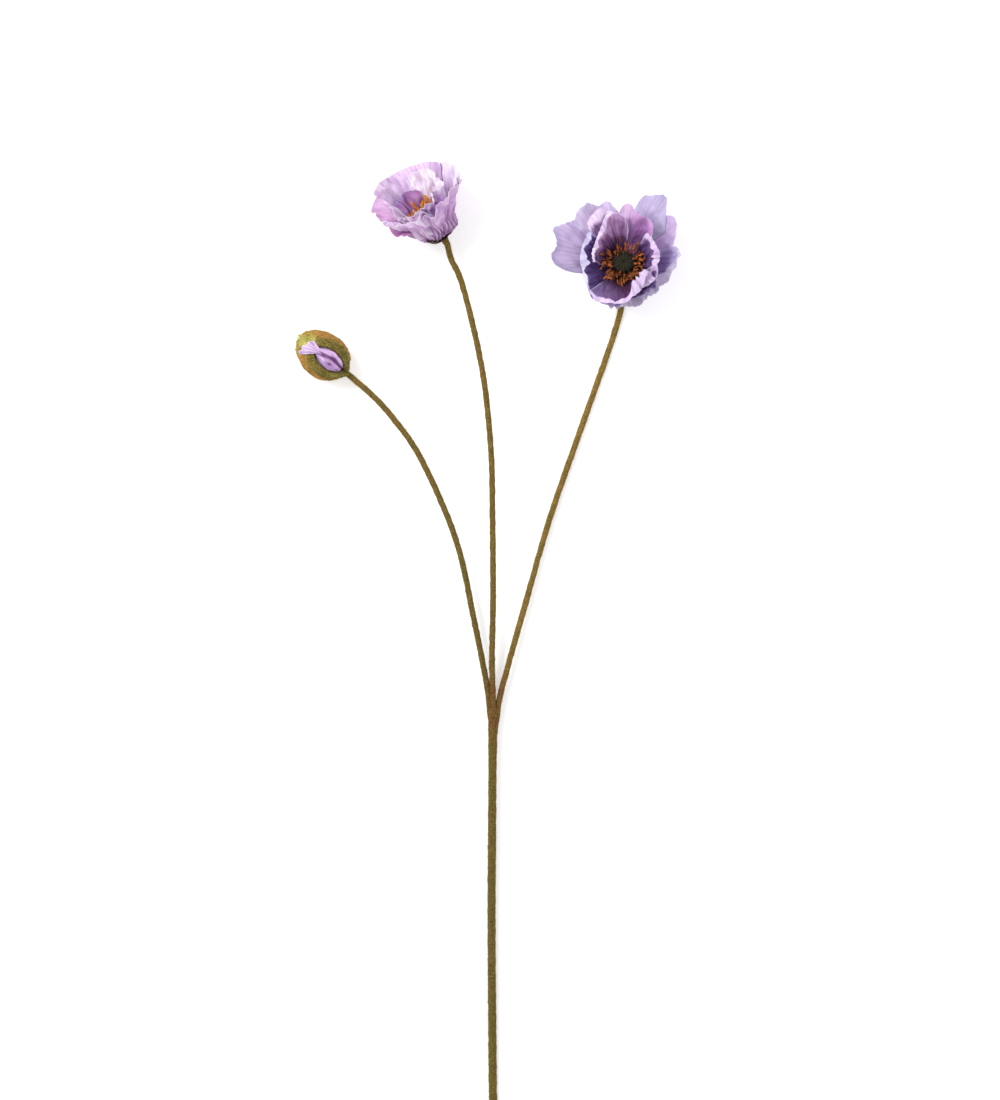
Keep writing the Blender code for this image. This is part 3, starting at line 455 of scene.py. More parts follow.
def thin_sheet(middle, thickness):
    """The points and faces of a closed sheet whose middle is a grid of points."""
    normal = np.cross(np.gradient(middle, axis=0), np.gradient(middle, axis=1))
    normal /= np.linalg.norm(normal, axis=-1)[..., None]
    return shell(middle + normal * thickness / 2, middle - normal * thickness / 2)


def round_faces(rings, segments):
    """The faces of a round skin, from rings of points followed by one point in the middle of each end."""
    at = np.arange(rings * segments).reshape(rings, segments)
    beside = np.roll(at, -1, axis=1)
    quads = np.stack([at[:-1], beside[:-1], beside[1:], at[1:]], -1).reshape(-1, 4)
    low, high = np.full(segments, rings * segments), np.full(segments, rings * segments + 1)
    caps = np.vstack([np.stack([low, beside[0], at[0]], -1), np.stack([high, at[-1], beside[-1]], -1)])
    return [quads, caps]


def tube(path, radii, sides):
    """A closed tube along a path, without twist. radii may give one radius for each side of a ring."""
    path = np.asarray(path, float)
    tangents = np.gradient(path, axis=0)
    tangents /= np.linalg.norm(tangents, axis=1)[:, None]
    across = np.cross(tangents[0], [0.0, 0.0, 1.0] if abs(tangents[0][2]) < 0.9 else [1.0, 0.0, 0.0])
    turns = (np.arange(sides) + 0.5) * 2 * np.pi / sides
    points = []
    for centre, tangent, radius in zip(path, tangents, radii):
        across = across - tangent * (across @ tangent)
        across /= np.linalg.norm(across)
        up = np.cross(across, tangent)
        ring = np.cos(turns)[:, None] * across + np.sin(turns)[:, None] * up
        points.append(centre + ring * np.reshape(radius, (-1, 1)))
    # The rings run the other way round than those of a round skin, so its faces are turned over
    faces = [np.roll(f[:, ::-1], 1, axis=1) for f in round_faces(len(path), sides)]
    return np.vstack(points + [path[:1], path[-1:]]), faces


def gathered(parts):
    """One set of points and faces from several, each (points, faces)."""
    points, faces, first = [], {}, 0
    for some, theirs in parts:
        for f in theirs:
            faces.setdefault(np.shape(f)[1], []).append(np.asarray(f) + first)
        points.append(some)
        first += len(some)
    return np.vstack(points), [np.vstack(f) for f in faces.values()]


def joined(name, parts, look):
    """One skin from several closed tubes, united by a modifier that takes a collection, applied."""
    helpers = bpy.data.collections.new(name + " parts")
    bpy.context.scene.collection.children.link(helpers)
    first, *others = [add_mesh(name, points, faces, look, sharp=0) for points, faces in parts]
    for other in others:
        bpy.context.scene.collection.objects.unlink(other)
        helpers.objects.link(other)
    join = first.modifiers.new("join", "BOOLEAN")
    join.operation = "UNION"
    join.operand_type = "COLLECTION"
    join.collection = helpers
    join.solver = "EXACT"
    apply_modifiers(first)
    for other in others:
        bpy.data.objects.remove(other)
    bpy.data.collections.remove(helpers)
    return first


# Materials

# Kinds of shader nodes: the sockets that their inputs fill in order, the output in use, and their settings
Kind = namedtuple("Kind", "type sockets output settings")
MIX = Kind("Mix", (0, 6, 7), 2, {"data_type": "RGBA"})
# A smooth step, from one number to another, while a value goes from a start to an end
STEP = Kind("MapRange", range(5), 0, {"interpolation_type": "SMOOTHSTEP"})
PRODUCT = Kind("Math", (0, 1), 0, {"operation": "MULTIPLY"})
SUM = Kind("Math", (0, 1), 0, {"operation": "ADD"})
POWER = Kind("Math", (0, 1), 0, {"operation": "POWER"})
GREATER = Kind("Math", (0, 1), 0, {"operation": "MAXIMUM"})
SCALED = Kind("VectorMath", (0, "Scale"), 0, {"operation": "SCALE"})
STRETCHED = Kind("VectorMath", (0, 1, 2), 0, {"operation": "MULTIPLY_ADD"})
SPLIT = Kind("SeparateXYZ", (0,), slice(3), {})
MARK = Kind("Attribute", (), "Fac", {})
VECTOR_MARK = Kind("Attribute", (), "Vector", {})
SPOT = Kind("TexCoord", (), "Object", {})
NOISE = Kind("TexNoise", ("Vector", "Scale", "Detail", "Roughness"), "Fac", {})
BANDS = Kind(
    "TexWave", ("Vector", "Scale", "Distortion", "Detail", "Detail Scale"), "Fac",
    {"wave_type": "BANDS", "bands_direction": "X"},
)
RELIEF = Kind("Bump", ("Height", "Strength", "Distance"), 0, {})


def node(tree, kind, *inputs, **settings):
    """Adds a shader node and gives its output; an input is a value or another node's output."""
    made = tree.nodes.new("ShaderNode" + kind.type)
    for key, value in {**kind.settings, **settings}.items():
        setattr(made, key, value)
    for socket, value in zip(kind.sockets, inputs):
        if isinstance(value, bpy.types.NodeSocket):
            tree.links.new(value, made.inputs[socket])
        else:
            made.inputs[socket].default_value = value
    return made.outputs[kind.output]


def paint(hex_colour):
    """An sRGB hex colour as linear red, green, blue and alpha."""
    values = [int(hex_colour[i : i + 2], 16) / 255 for i in (1, 3, 5)]
    return (*(v / 12.92 if v <= 0.04045 else ((v + 0.055) / 1.055) ** 2.4 for v in values), 1)


def new_material(name, **values):
    """A Principled material; values are the shader's own sockets, with _ for a space in their names."""
    made = bpy.data.materials.new(name)
    made.use_nodes = True
    shader = made.node_tree.nodes["Principled BSDF"]
    for key, value in values.items():
        shader.inputs[key.replace("_", " ")].default_value = value
    return made, made.node_tree, shader


# A petal's colours: from its claw outwards, at its margin, on its rolled band, on its back and in its veins,
# and towards its left and right sides. The dark throat is partly painted shade deep in the cup, and the left
# and right tints are partly painted shade on a petal's shaded side. throat_to and outer_from are runs in mm,
# edge_width is the margin's width in mm, and the fold shade and fold highlight shares are how far painted
# shade darkens its folds' valleys and painted highlight pales their crests
Silk = namedtuple(
    "Silk", "throat body outer edge rim back vein throat_to outer_from edge_width valley crest left right",
    defaults=(None, None),
)
# A petal's patterns, measured across in half widths and along in mm: streaks about 1.5 mm wide at the rim and
# 20 mm long, and veins with a scale, distortion, detail and its scale. Main ones are about 2 mm apart at the
# rim, and finer ones lie between them
STREAKS = (10, 0.05, 0)
VEINS = (1, 0.02, 0)
MAIN_VEINS = (2.6, 4.5, 2.0, 1.2)
FINE_VEINS = (6.5, 6.0, 2.0, 2.0)
VEIN_SHARE, VEIN_DEPTH = 0.34, 0.25 * MM
# The width of the cloudy patches where colours run into each other
CLOUD_WIDTH = 8 * MM


def petal_silk(name, silk, seed):
    """Petal, like silk cut thin and pressed: matt, faint sheen, lets light through, fine veins fan out."""
    made, tree, shader = new_material(
        name, Roughness=0.62, Specular_IOR_Level=0.2, Subsurface_Weight=0.25, Subsurface_Scale=0.8 * MM,
        Subsurface_Radius=(1.0, 0.75, 1.0), Sheen_Weight=0.1, Sheen_Roughness=0.4,
    )
    throat, body, outer, edge, rim, back, vein = (paint(colour) for colour in silk[:7])
    where = node(tree, VECTOR_MARK, attribute_name="petal")
    across, run, margin = node(tree, SPLIT, where)
    inner, band, fold = (node(tree, MARK, attribute_name=mark) for mark in ("inner", "band", "fold"))
    drawn = node(tree, STRETCHED, where, STREAKS, (seed, seed * 1.7, 0))
    streak = node(tree, NOISE, drawn, 1.0, 4.0, 0.6)
    cloud = node(tree, NOISE, node(tree, SPOT), 1 / CLOUD_WIDTH, 2.0)
    fan = node(tree, STRETCHED, where, VEINS, (0, seed, 0))
    main = node(tree, POWER, node(tree, BANDS, fan, *MAIN_VEINS), 6.0)
    fine = node(tree, POWER, node(tree, BANDS, fan, *FINE_VEINS), 4.0)
    fine = node(tree, PRODUCT, fine, node(tree, STEP, run, 10.0, 26.0, 0.0, 0.5))
    lines = node(tree, GREATER, main, fine)
    lines = node(tree, PRODUCT, lines, node(tree, STEP, cloud, 0.35, 0.6, 0.35, 1.0))
    # The colour zones reach further out along some streaks than along others, like feathers
    feathered = node(tree, SUM, run, node(tree, STEP, streak, 0.25, 0.75, -6.0, 6.0))
    # The dark throat near the claw is partly the petal's own colour and partly painted shade deep in the cup
    share = node(tree, STEP, feathered, silk.throat_to * 0.4, silk.throat_to)
    colour = node(tree, MIX, share, throat, body)
    share = node(tree, STEP, feathered, silk.outer_from, silk.outer_from + 11)
    colour = node(tree, MIX, share, colour, outer)
    share = node(tree, STEP, margin, silk.edge_width, 0.5)
    share = node(tree, PRODUCT, share, node(tree, STEP, cloud, 0.38, 0.62, 0.2, 0.9))
    colour = node(tree, MIX, share, colour, edge)
    beyond = node(tree, STEP, run, silk.throat_to * 0.6, silk.throat_to * 1.4)
    # Painted shade in part: on some petals a side tint darkens the side that lies in shade; on others it is
    # their own tone
    for tint, end in ((silk.left, 0.9), (silk.right, -0.9)):
        if tint:
            share = node(tree, PRODUCT, node(tree, STEP, across, 0.0, end), beyond)
            share = node(tree, PRODUCT, share, node(tree, STEP, cloud, 0.3, 0.6, 0.7, 1.0))
            colour = node(tree, MIX, share, colour, paint(tint))
    colour = node(tree, MIX, node(tree, PRODUCT, lines, VEIN_SHARE), colour, vein)
    under = node(tree, MIX, node(tree, STEP, feathered, 5.0, 32.0), vein, back)
    under = node(tree, MIX, node(tree, STEP, cloud, 0.5, 0.68, 0.0, 0.4), under, vein)
    share = node(tree, STEP, cloud, 0.46, 0.32, 0.0, 0.5)
    share = node(tree, PRODUCT, share, node(tree, STEP, run, 10.0, 24.0))
    under = node(tree, MIX, share, under, rim)
    under = node(tree, MIX, node(tree, STEP, margin, 9.0, 0.5, 0.0, 0.7), under, edge)
    colour = node(tree, MIX, node(tree, STEP, inner, 0.0, 1.0, 0.85, 0.0), colour, under)
    # A fold that rises on one side sinks on the other: painted shade darkens its valleys and painted
    # highlight pales its crests
    risen = node(tree, PRODUCT, fold, node(tree, STEP, inner, 0.0, 1.0, -1.0, 1.0))
    for amount, start, end, runs, tint in (
        (silk.valley, 0.0, -0.8, (12.0, 26.0, 1.0, 0.5), vein),
        (silk.crest, 0.3, 0.9, (6.0, 20.0, 0.1, 1.0), rim),
    ):
        share = node(tree, STEP, risen, start, end, 0.0, amount)
        share = node(tree, PRODUCT, share, node(tree, STEP, run, *runs))
        colour = node(tree, MIX, share, colour, tint)
    # A thin painted highlight runs along every edge, where the petal's thickness would catch the light; the
    # rolled band takes the same pale colours
    painted_edge_highlight = node(tree, STEP, margin, 0.55, 0.25, 0.0, 0.6)
    rolled = node(tree, GREATER, painted_edge_highlight, node(tree, STEP, band, -0.15, 0.2))
    banded = node(tree, MIX, node(tree, STEP, cloud, 0.35, 0.65, 0.0, 0.6), rim, edge)
    colour = node(tree, MIX, rolled, colour, banded)
    colour = node(tree, SCALED, colour, node(tree, STEP, streak, 0.25, 0.75, 0.9, 1.08))
    tree.links.new(colour, shader.inputs["Base Color"])
    height = node(tree, SUM, streak, node(tree, PRODUCT, lines, -0.5))
    tree.links.new(node(tree, RELIEF, height, 0.5, VEIN_DEPTH), shader.inputs["Normal"])
    return made


# Down's colours, mixed by the mark tint: x is gold, y is rust and z is moss
Down = namedtuple("Down", "plain gold rust moss deep pale")
# Blotches of the down, and tufts that are lighter or darker than the rest
BLOTCH_WIDTH, TUFT_WIDTH = 5 * MM, 0.8 * MM
TUFT_DEPTH = 0.4 * MM


def flocked_down(name, down):
    """Short velvety down over matt skin: no gloss, a pale glow at grazing angles, light and dark tufts."""
    made, tree, shader = new_material(
        name, Roughness=0.95, Specular_IOR_Level=0.1, Sheen_Weight=0.2, Sheen_Roughness=0.6,
        Sheen_Tint=paint("#D8B878"),
    )
    gold, rust, moss = node(tree, SPLIT, node(tree, VECTOR_MARK, attribute_name="tint"))
    spot = node(tree, SPOT)
    tuft = node(tree, NOISE, spot, 1 / TUFT_WIDTH, 2.0)
    uneven = node(tree, STEP, node(tree, NOISE, spot, 1 / BLOTCH_WIDTH, 3.0), 0.35, 0.65, 0.5, 1.3)
    colour = paint(down.plain)
    for share, tone in ((moss, down.moss), (gold, down.gold), (rust, down.rust)):
        colour = node(tree, MIX, node(tree, PRODUCT, share, uneven), colour, paint(tone))
    colour = node(tree, MIX, node(tree, STEP, tuft, 0.5, 0.32, 0.0, 0.6), colour, paint(down.deep))
    colour = node(tree, MIX, node(tree, STEP, tuft, 0.52, 0.7, 0.0, 0.6), colour, paint(down.pale))
    colour = node(tree, SCALED, colour, node(tree, MARK, attribute_name="shade"))
    tree.links.new(colour, shader.inputs["Base Color"])
    tree.links.new(node(tree, RELIEF, tuft, 0.9, TUFT_DEPTH), shader.inputs["Normal"])
    return made


SKIN_DEPTH = 0.2 * MM


def dry_skin(name, dark, light, grain, roughness):
    """Dry plant skin: dull and mottled, with a grain of the given width."""
    made, tree, shader = new_material(name, Roughness=roughness, Specular_IOR_Level=0.3)
    mottle = node(tree, NOISE, node(tree, SPOT), 1 / grain, 4.0)
    shade = node(tree, MARK, attribute_name="shade")
    shade = node(tree, SUM, shade, node(tree, STEP, mottle, 0.3, 0.7, -0.3, 0.3))
    colour = node(tree, MIX, node(tree, STEP, shade, 0.0, 1.0), paint(dark), paint(light))
    tree.links.new(colour, shader.inputs["Base Color"])
    tree.links.new(node(tree, RELIEF, mottle, 0.7, SKIN_DEPTH), shader.inputs["Normal"])
    return made


# Petals

# The bends of a petal's length, in degrees and metres, one value for each place across it
Bends = namedtuple("Bends", "bias lip roll crease rim")
# A rolled band is whole where it is BAND_WHOLE mm wide. Its lip waves and wanders by these degrees, and turns
# within BAND_CREASE mm. Where there is no band, the lip flares PLAIN_FLARE degrees past the belly and turns
# within PLAIN_CREASE mm, from PLAIN_ROLL mm short of the rim
BAND_WHOLE = 0.9
LIP_WAVE, LIP_WANDER = 14, 8
PLAIN_FLARE = 24
BAND_CREASE, PLAIN_CREASE, PLAIN_ROLL = 1.4, 5, 2.5
GATHER_NARROW, GATHER_SWELL = 0.78, 0.34
# A mark for petals, or parts of them, that have no rolled band
NO_BAND = -9
# How the pleats, crumples and waves grow with the run along a petal, in mm
PLEAT_RISE, PLEAT_FADE, CRUMPLE_RISE = 6, 12, 14
WAVE_GROWTH = 2.5
# How far inwards relief that neighbours share is measured from, and the wander of the pleats, both in mm
SHARED_START = 8
PLEAT_WANDER = [(14, 1.6)]


def own_bends(whorl, turn, rim):
    """The bends that a whorl gives a petal at angle turn, where the petal is rim metres long."""
    lip = whorl.lip + ring_sum(whorl.curl, turn)
    length = np.full_like(turn, whorl.lip_length)
    return Bends(ring_sum(whorl.sway, turn), lip, length / 2, length, rim)


def lean(whorl, bends, run):
    """Radians between a petal and the bloom's axis, run metres up from its claw."""
    belly = whorl.belly + bends.bias * smoothstep(run / SWAY_LENGTH)
    angle = belly + (whorl.claw - belly) * np.exp(-((run / whorl.bend) ** 1.5))
    turned = smoothstep((run - bends.rim + bends.roll) / bends.crease + 0.5)
    return np.radians(angle + (bends.lip - belly) * turned)


def whorl_point(whorl, bends, turn, run, lift):
    """Points of a whorl at angle turn, run along the petal and lift off its surface, inwards."""
    fraction = (np.arange(CURVE_STEPS) + 0.5) / CURVE_STEPS
    deep = Bends(*(np.asarray(b)[..., None] for b in bends))
    angles = lean(whorl, deep, run[..., None] * fraction)
    radius = CLAW_RADIUS + run * np.sin(angles).mean(-1)
    height = whorl.height + run * np.cos(angles).mean(-1)
    end = lean(whorl, bends, run)
    return round_point(radius - lift * np.cos(end), turn, height + lift * np.sin(end))


def through(marks, at):
    """A smooth curve through marks, each (place, value), read at other places."""
    x, y = np.array(marks, float).T
    slope = np.gradient(y, x)
    at = np.clip(at, x[0], x[-1])
    n = np.clip(np.searchsorted(x, at) - 1, 0, len(x) - 2)
    gap = x[n + 1] - x[n]
    t = (at - x[n]) / gap
    low = (1 + 2 * t) * (1 - t) ** 2 * y[n] + t * (1 - t) ** 2 * gap * slope[n]
    return low + t**2 * (3 - 2 * t) * y[n + 1] + t**2 * (t - 1) * gap * slope[n + 1]


def petal_bends(whorl, petal, turn, whorl_seed):
    """The bends across one petal, with the length and lean that make its rim reach where its marks say."""
    at = np.degrees(turn)
    rim = through(petal.rim or petal.reach, at) * MM
    bends = own_bends(whorl, turn, rim)
    if petal.roll:
        gathers = np.abs(np.sin(np.radians(at + 3 * np.sin(at / 9)) * GATHERS / 2))
        width = np.maximum(through(petal.roll, at), 0) * (GATHER_NARROW + GATHER_SWELL * gathers)
        band = smoothstep(width / BAND_WHOLE)
        wavy = whorl.lip + LIP_WAVE * np.sin(np.radians(at) * GATHERS / 2)
        wavy = wavy + ripples(whorl_seed, at[:, None], [(9, LIP_WANDER)])
        flare = whorl.belly + PLAIN_FLARE
        bends = bends._replace(
            lip=flare + (wavy - flare) * band,
            roll=(PLAIN_ROLL + (width - PLAIN_ROLL) * band) * MM,
            crease=(PLAIN_CREASE + (BAND_CREASE - PLAIN_CREASE) * band) * MM,
        )
    if petal.reach:
        goal = through(petal.reach, at) * MM
        key, low, high = ("bias", -40.0, 60.0) if petal.rim else ("rim", 4 * MM, 80 * MM)
        low, high = np.full_like(goal, low), np.full_like(goal, high)
        # The lean, or without rim the length, is found by halving its range again and again
        for _ in range(16):
            tried = (low + high) / 2
            bends = bends._replace(**{key: tried})
            tip = whorl_point(whorl, bends, turn, bends.rim, np.zeros_like(goal))
            short = np.hypot(tip[:, 0], tip[:, 1]) < goal
            low, high = np.where(short, tried, low), np.where(short, high, tried)
    return bends


def shared_place(turn, run, drawn):
    """Places that neighbouring petals share: round the bloom by angle, and outwards by run times drawn."""
    return round_point(1, turn, 0)[..., :2] * (SHARED_START + run / MM * drawn)[..., None]


def add_petal(name, whorl, petal, folds, matrix, look, slot, seeds):
    """One fine petal on its whorl. seeds are the whorl's, which neighbours share, and the petal's own."""
    whorl_seed, petal_seed = seeds
    places = np.linspace(-1, 1, folds.columns)
    bends = petal_bends(whorl, petal, np.radians(petal.heading + petal.spread * places), whorl_seed)
    ragged = [(0.5, 0.7 * folds.ragged), (0.16, 0.4 * folds.ragged)]
    bends = bends._replace(rim=bends.rim + ripples(petal_seed, places[:, None], ragged) * MM)
    bends = Bends(*(np.broadcast_to(b[:, None], (folds.columns, folds.rows)) for b in bends))
    across, along = np.meshgrid(places, np.linspace(0, 1, folds.rows), indexing="ij")
    run = bends.rim * along
    widened = CLAW_SPREAD_SHARE + (1 - CLAW_SPREAD_SHARE) * smoothstep(run / WIDEN_LENGTH)
    turn = np.radians(petal.heading + petal.spread * widened * across)
    side = np.where(across > 0, petal.left, petal.right)
    lift = np.where(side > 0, LIFT_OVER, LIFT_UNDER) * np.abs(across) * smoothstep(run / LIFT_LENGTH)
    lift = lift + ring_sum(whorl.waves, turn) * MM * (run / PETAL_REACH) ** WAVE_GROWTH
    wander = ripples(whorl_seed + 1, shared_place(turn, run, 0.8), PLEAT_WANDER)
    fold = 0 * run
    for count, size, start, fade in folds.pleats:
        grown = smoothstep((run / MM - start) / PLEAT_RISE) * smoothstep((fade - run / MM) / PLEAT_FADE)
        fold = fold + size * np.cos(count * turn + wander) * grown
    crumple = ripples(whorl_seed, shared_place(turn, run, folds.drawn), folds.crumples, creased=True)
    crumple = crumple * smoothstep(run / (CRUMPLE_RISE * MM))
    middle = whorl_point(whorl, bends, turn, run, lift + (fold + crumple) * MM)
    thickness = PETAL_THICKNESS * (0.6 + 0.9 * np.exp(-run / (6 * MM)))
    points, faces = thin_sheet(middle, thickness[..., None])
    side_gap = (1 - np.abs(across)) * np.radians(petal.spread) * np.linalg.norm(middle[..., :2], axis=-1)
    margin = np.minimum(bends.rim - run, side_gap + 10 * MM * smoothstep(1.2 - 1.8 * along)) / MM
    band = np.full_like(run, NO_BAND)
    if petal.roll:
        band = np.where(bends.crease < 3 * MM, (bends.roll - bends.rim + run) / MM, NO_BAND)
    marks = np.stack([across, run / MM, margin], -1).reshape(-1, 3)
    # The relief sets where the silk paints shade in valleys and highlights on crests
    relief = (fold + folds.tinted * crumple) / sum(pleat[1] for pleat in folds.pleats)
    obj = add_mesh(name + "_silk", laid(moved(points, matrix)), faces, look, {
        "petal": np.tile(marks, (2, 1)),
        "band": np.tile(band.ravel(), 2),
        "inner": np.repeat([0.0, 1.0], len(marks)),
        "fold": np.tile(np.clip(relief, -1, 1).ravel(), 2),
    })
    stand_for(obj, slot, name)


def add_calyx(name, whorl, calyx, matrix, look):
    """The lobed cup under a bloom, its lobes against the backs of the outer petals."""
    segments, rings = 96, 20
    turns = ring_turns(segments)
    point = np.cos((turns - math.radians(calyx.heading)) * CALYX_LOBES / 2) ** 4
    rims = calyx.cup + calyx.lobe * point
    rims = rims + ripples(3, round_point(1, turns, 0)[..., :2], [(0.5, 0.25)]) * MM
    drop = (SOLID_PETAL_THICKNESS + CALYX_THICKNESS) / 2 + SEAT - LIFT_UNDER
    bends = own_bends(whorl, turns, np.full_like(turns, PETAL_REACH))
    up = np.array([0, 0, 1.0])
    skins = ([], [])
    for share in np.arange(rings + 1) / rings:
        run = np.maximum(rims * share - CLAW_RADIUS, 0)
        lift = -drop * smoothstep(run / CLAW_RADIUS) + CALYX_CLING * smoothstep((run - 3 * MM) / (4 * MM))
        sits = whorl_point(whorl, bends, turns, run, lift)
        flat = round_point(rims * share, turns, CALYX_HEIGHT + CALYX_THICKNESS / 2)
        part = smoothstep(run / (0.6 * CLAW_RADIUS))[:, None]
        middle = flat * (1 - part) + sits * part
        slope = lean(whorl, bends, run)[:, None]
        normal = up * (1 - part) + (up * np.sin(slope) - round_point(1, turns, 0) * np.cos(slope)) * part
        normal /= np.linalg.norm(normal, axis=1)[:, None]
        thick = CALYX_THICKNESS * (1 - 0.6 * share**4)
        skins[0].append(middle + normal * thick / 2)
        skins[1].append(middle - normal * thick / 2)
    points = np.vstack(skins[0] + skins[1])
    at = np.arange(segments * (rings + 1)).reshape(rings + 1, segments)
    beside = np.roll(at, -1, axis=1)
    other = at.size
    top = np.stack([at[1:-1], at[2:], beside[2:], beside[1:-1]], -1).reshape(-1, 4)
    centre = np.stack([at[0], at[1], beside[1]], -1)
    wall = np.stack([at[-1], at[-1] + other, beside[-1] + other, beside[-1]], -1)
    faces = [top, top[:, ::-1] + other, wall, centre, centre[:, ::-1] + other]
    marks = {"shade": np.full(len(points), CALYX_SHADE)}
    obj = add_mesh(name + "_skin", moved(points, matrix), faces, look, marks)
    # The innermost ring is one point many times over
    obj.modifiers.new("weld", "WELD").merge_threshold = 0.01 * MM
    apply_modifiers(obj)
    stand_for(obj, "calyx", name)


# Pistils and stamens

# The ribs' depth as a share of the capsule's radius, and how far its rays rise, in mm
RIB_DEPTH, RAY_RISE = 0.16, 0.55
PISTIL_SEGMENTS = 120
PISTIL_STEPS = [3, 4, 6, 7, 8, 7, 10, 12]
PISTIL_TOP = 8.9
PISTIL_GRAIN = [(1.1, 0.05), (0.5, 0.03)]


def add_pistil(name, width, collar_top, matrix, look):
    """A squat capsule under a rayed cap: ribs up its side, and a raised velvety ray for each rib on top."""
    foot, top = (CALYX_HEIGHT + CALYX_THICKNESS + 2 * SEAT) / MM, collar_top / MM
    profile = [(PISTIL_FOOT_RADIUS / MM, foot), (PISTIL_FOOT_RADIUS / MM, top)]
    profile += [(width * r, top + h) for r, h in PISTIL_PROFILE] + [(0.02, top + PISTIL_TOP)]
    curve = smooth_route([(r, 0, h) for r, h in profile], PISTIL_STEPS)
    turns = ring_turns(PISTIL_SEGMENTS)
    share = np.linspace(0, 1, len(curve))[:, None]
    ray = np.abs(np.cos(PISTIL_RAYS * turns / 2)) ** 1.5
    depth = RIB_DEPTH * smoothstep((share - 0.3) * 2.2) * (1 - smoothstep((share - 0.8) / 0.2))
    radius = np.maximum(curve[:, :1], 0.01) * (1 + depth * (ray - 0.45))
    cap = smoothstep((share - 0.68) / 0.08) * smoothstep((1 - share) / 0.05)
    spot = round_point(radius, turns, curve[:, 2:] + RAY_RISE * (ray - 0.5) * cap * width)
    spot = spot + ripples(7, spot, PISTIL_GRAIN)[..., None] * round_point(1, turns, 1)
    ends = [(0, 0, curve[0, 2]), (0, 0, curve[-1, 2])]
    points = np.vstack([spot.reshape(-1, 3), ends]) * MM
    glow = smoothstep(1 - np.hypot(spot[..., 0], spot[..., 1]) / (5.5 * width)) * cap
    shade = 0.12 + 0.35 * ray * (0.3 + 0.7 * cap) + 0.35 * glow
    faces = round_faces(len(curve), PISTIL_SEGMENTS)
    marks = {"shade": np.append(shade.ravel(), [0.2, 0.5])}
    obj = add_mesh(name + "_capsule", moved(points, matrix), faces, look, marks)
    stand_for(obj, "pistil", name)


# A ring of stamens: ranges of degrees from the axis, of length in mm and of bow in degrees. Those on the low
# side, towards the stem, droop and curl more, by droop and curl degrees. They crowd to one side by crowd
# radians. anther and thick are the anthers' length and thickness in mm
Stamens = namedtuple("Stamens", "count out length bow droop curl anther crowd thick")
OPEN_STAMENS = Stamens(150, (4, 54), (7.5, 13.5), (-10, 40), 60, 115, 3.8, 0.25, 0.28)
HALF_STAMENS = Stamens(64, (8, 42), (14.0, 20.0), (-20, -2), 0, 0, 3.8, -0.3, 0.46)
# Each stamen stands this many degrees round from the one before, as leaves and seeds do
NEXT_TURN = 137.5
THREAD_RADIUS = 0.16
THREAD_STEPS, THREAD_SIDES = 15, 7


def add_stamens(name, ring, collar_top, matrix, look, seed):
    """Threads that end in thick, grainy anthers, rooted in the collar round the pistil's foot."""
    rng = np.random.default_rng(seed)
    parts, shades = [], []
    share = np.linspace(0, 1, THREAD_STEPS)
    flat = 1 + 0.3 * np.cos(2 * ring_turns(THREAD_SIDES))
    for number in range(ring.count):
        turn = math.radians(number * NEXT_TURN + rng.uniform(-12, 12))
        turn -= ring.crowd * math.cos(turn)
        low = smoothstep(0.62 - 0.75 * math.sin(turn))
        out = rng.uniform(*ring.out)
        length = rng.uniform(*ring.length)
        bow = rng.uniform(*ring.bow) + ring.droop * low * rng.uniform(0.5, 1.3)
        sway = rng.uniform(-26, 26) + ring.curl * low * rng.uniform(-1, 1)
        angle = np.radians(out + bow * share**1.5)
        side = np.radians(sway) * share**1.6
        step = length * MM / (THREAD_STEPS - 1)
        root = rng.uniform(COLLAR_INNER, COLLAR_OUTER - 0.4 * MM)
        radius = np.cumsum(np.sin(angle) * np.cos(side) * step) + root
        sideways = np.cumsum(np.sin(side) * step)
        height = np.cumsum(np.cos(angle) * np.cos(side) * step) + collar_top - COLLAR_HEIGHT / 2
        path = np.stack([
            radius * math.cos(turn) - sideways * math.sin(turn),
            radius * math.sin(turn) + sideways * math.cos(turn),
            height,
        ], -1)
        from_end = (1 - share) * length
        swell = smoothstep((ring.anther - from_end) / 1.2) * (1 - 0.7 * smoothstep((0.7 - from_end) / 0.7))
        thick = THREAD_RADIUS + ring.thick * rng.uniform(0.7, 1.3) * swell
        lumps = 1 + 0.25 * rng.uniform(-1, 1, (THREAD_STEPS, THREAD_SIDES)) * swell[:, None]
        parts.append(tube(path, thick[:, None] * flat * lumps * MM, THREAD_SIDES))
        tone = (0.3 + 0.6 * swell[:, None]) * rng.uniform(0.35, 1.25)
        colour = tone + 0.12 * rng.uniform(-1, 1, (THREAD_STEPS, THREAD_SIDES))
        shades.append(np.concatenate([colour.ravel(), colour[0, :1], colour[-1, :1]]))
    parts.append(collar_ring(collar_top))
    shades.append(np.full(len(parts[-1][0]), COLLAR_SHADE))
    points, faces = gathered(parts)
    marks = {"shade": np.concatenate(shades)}
    obj = add_mesh(name + "_threads", moved(points, matrix), faces, look, marks)
    stand_for(obj, "stamen", name)


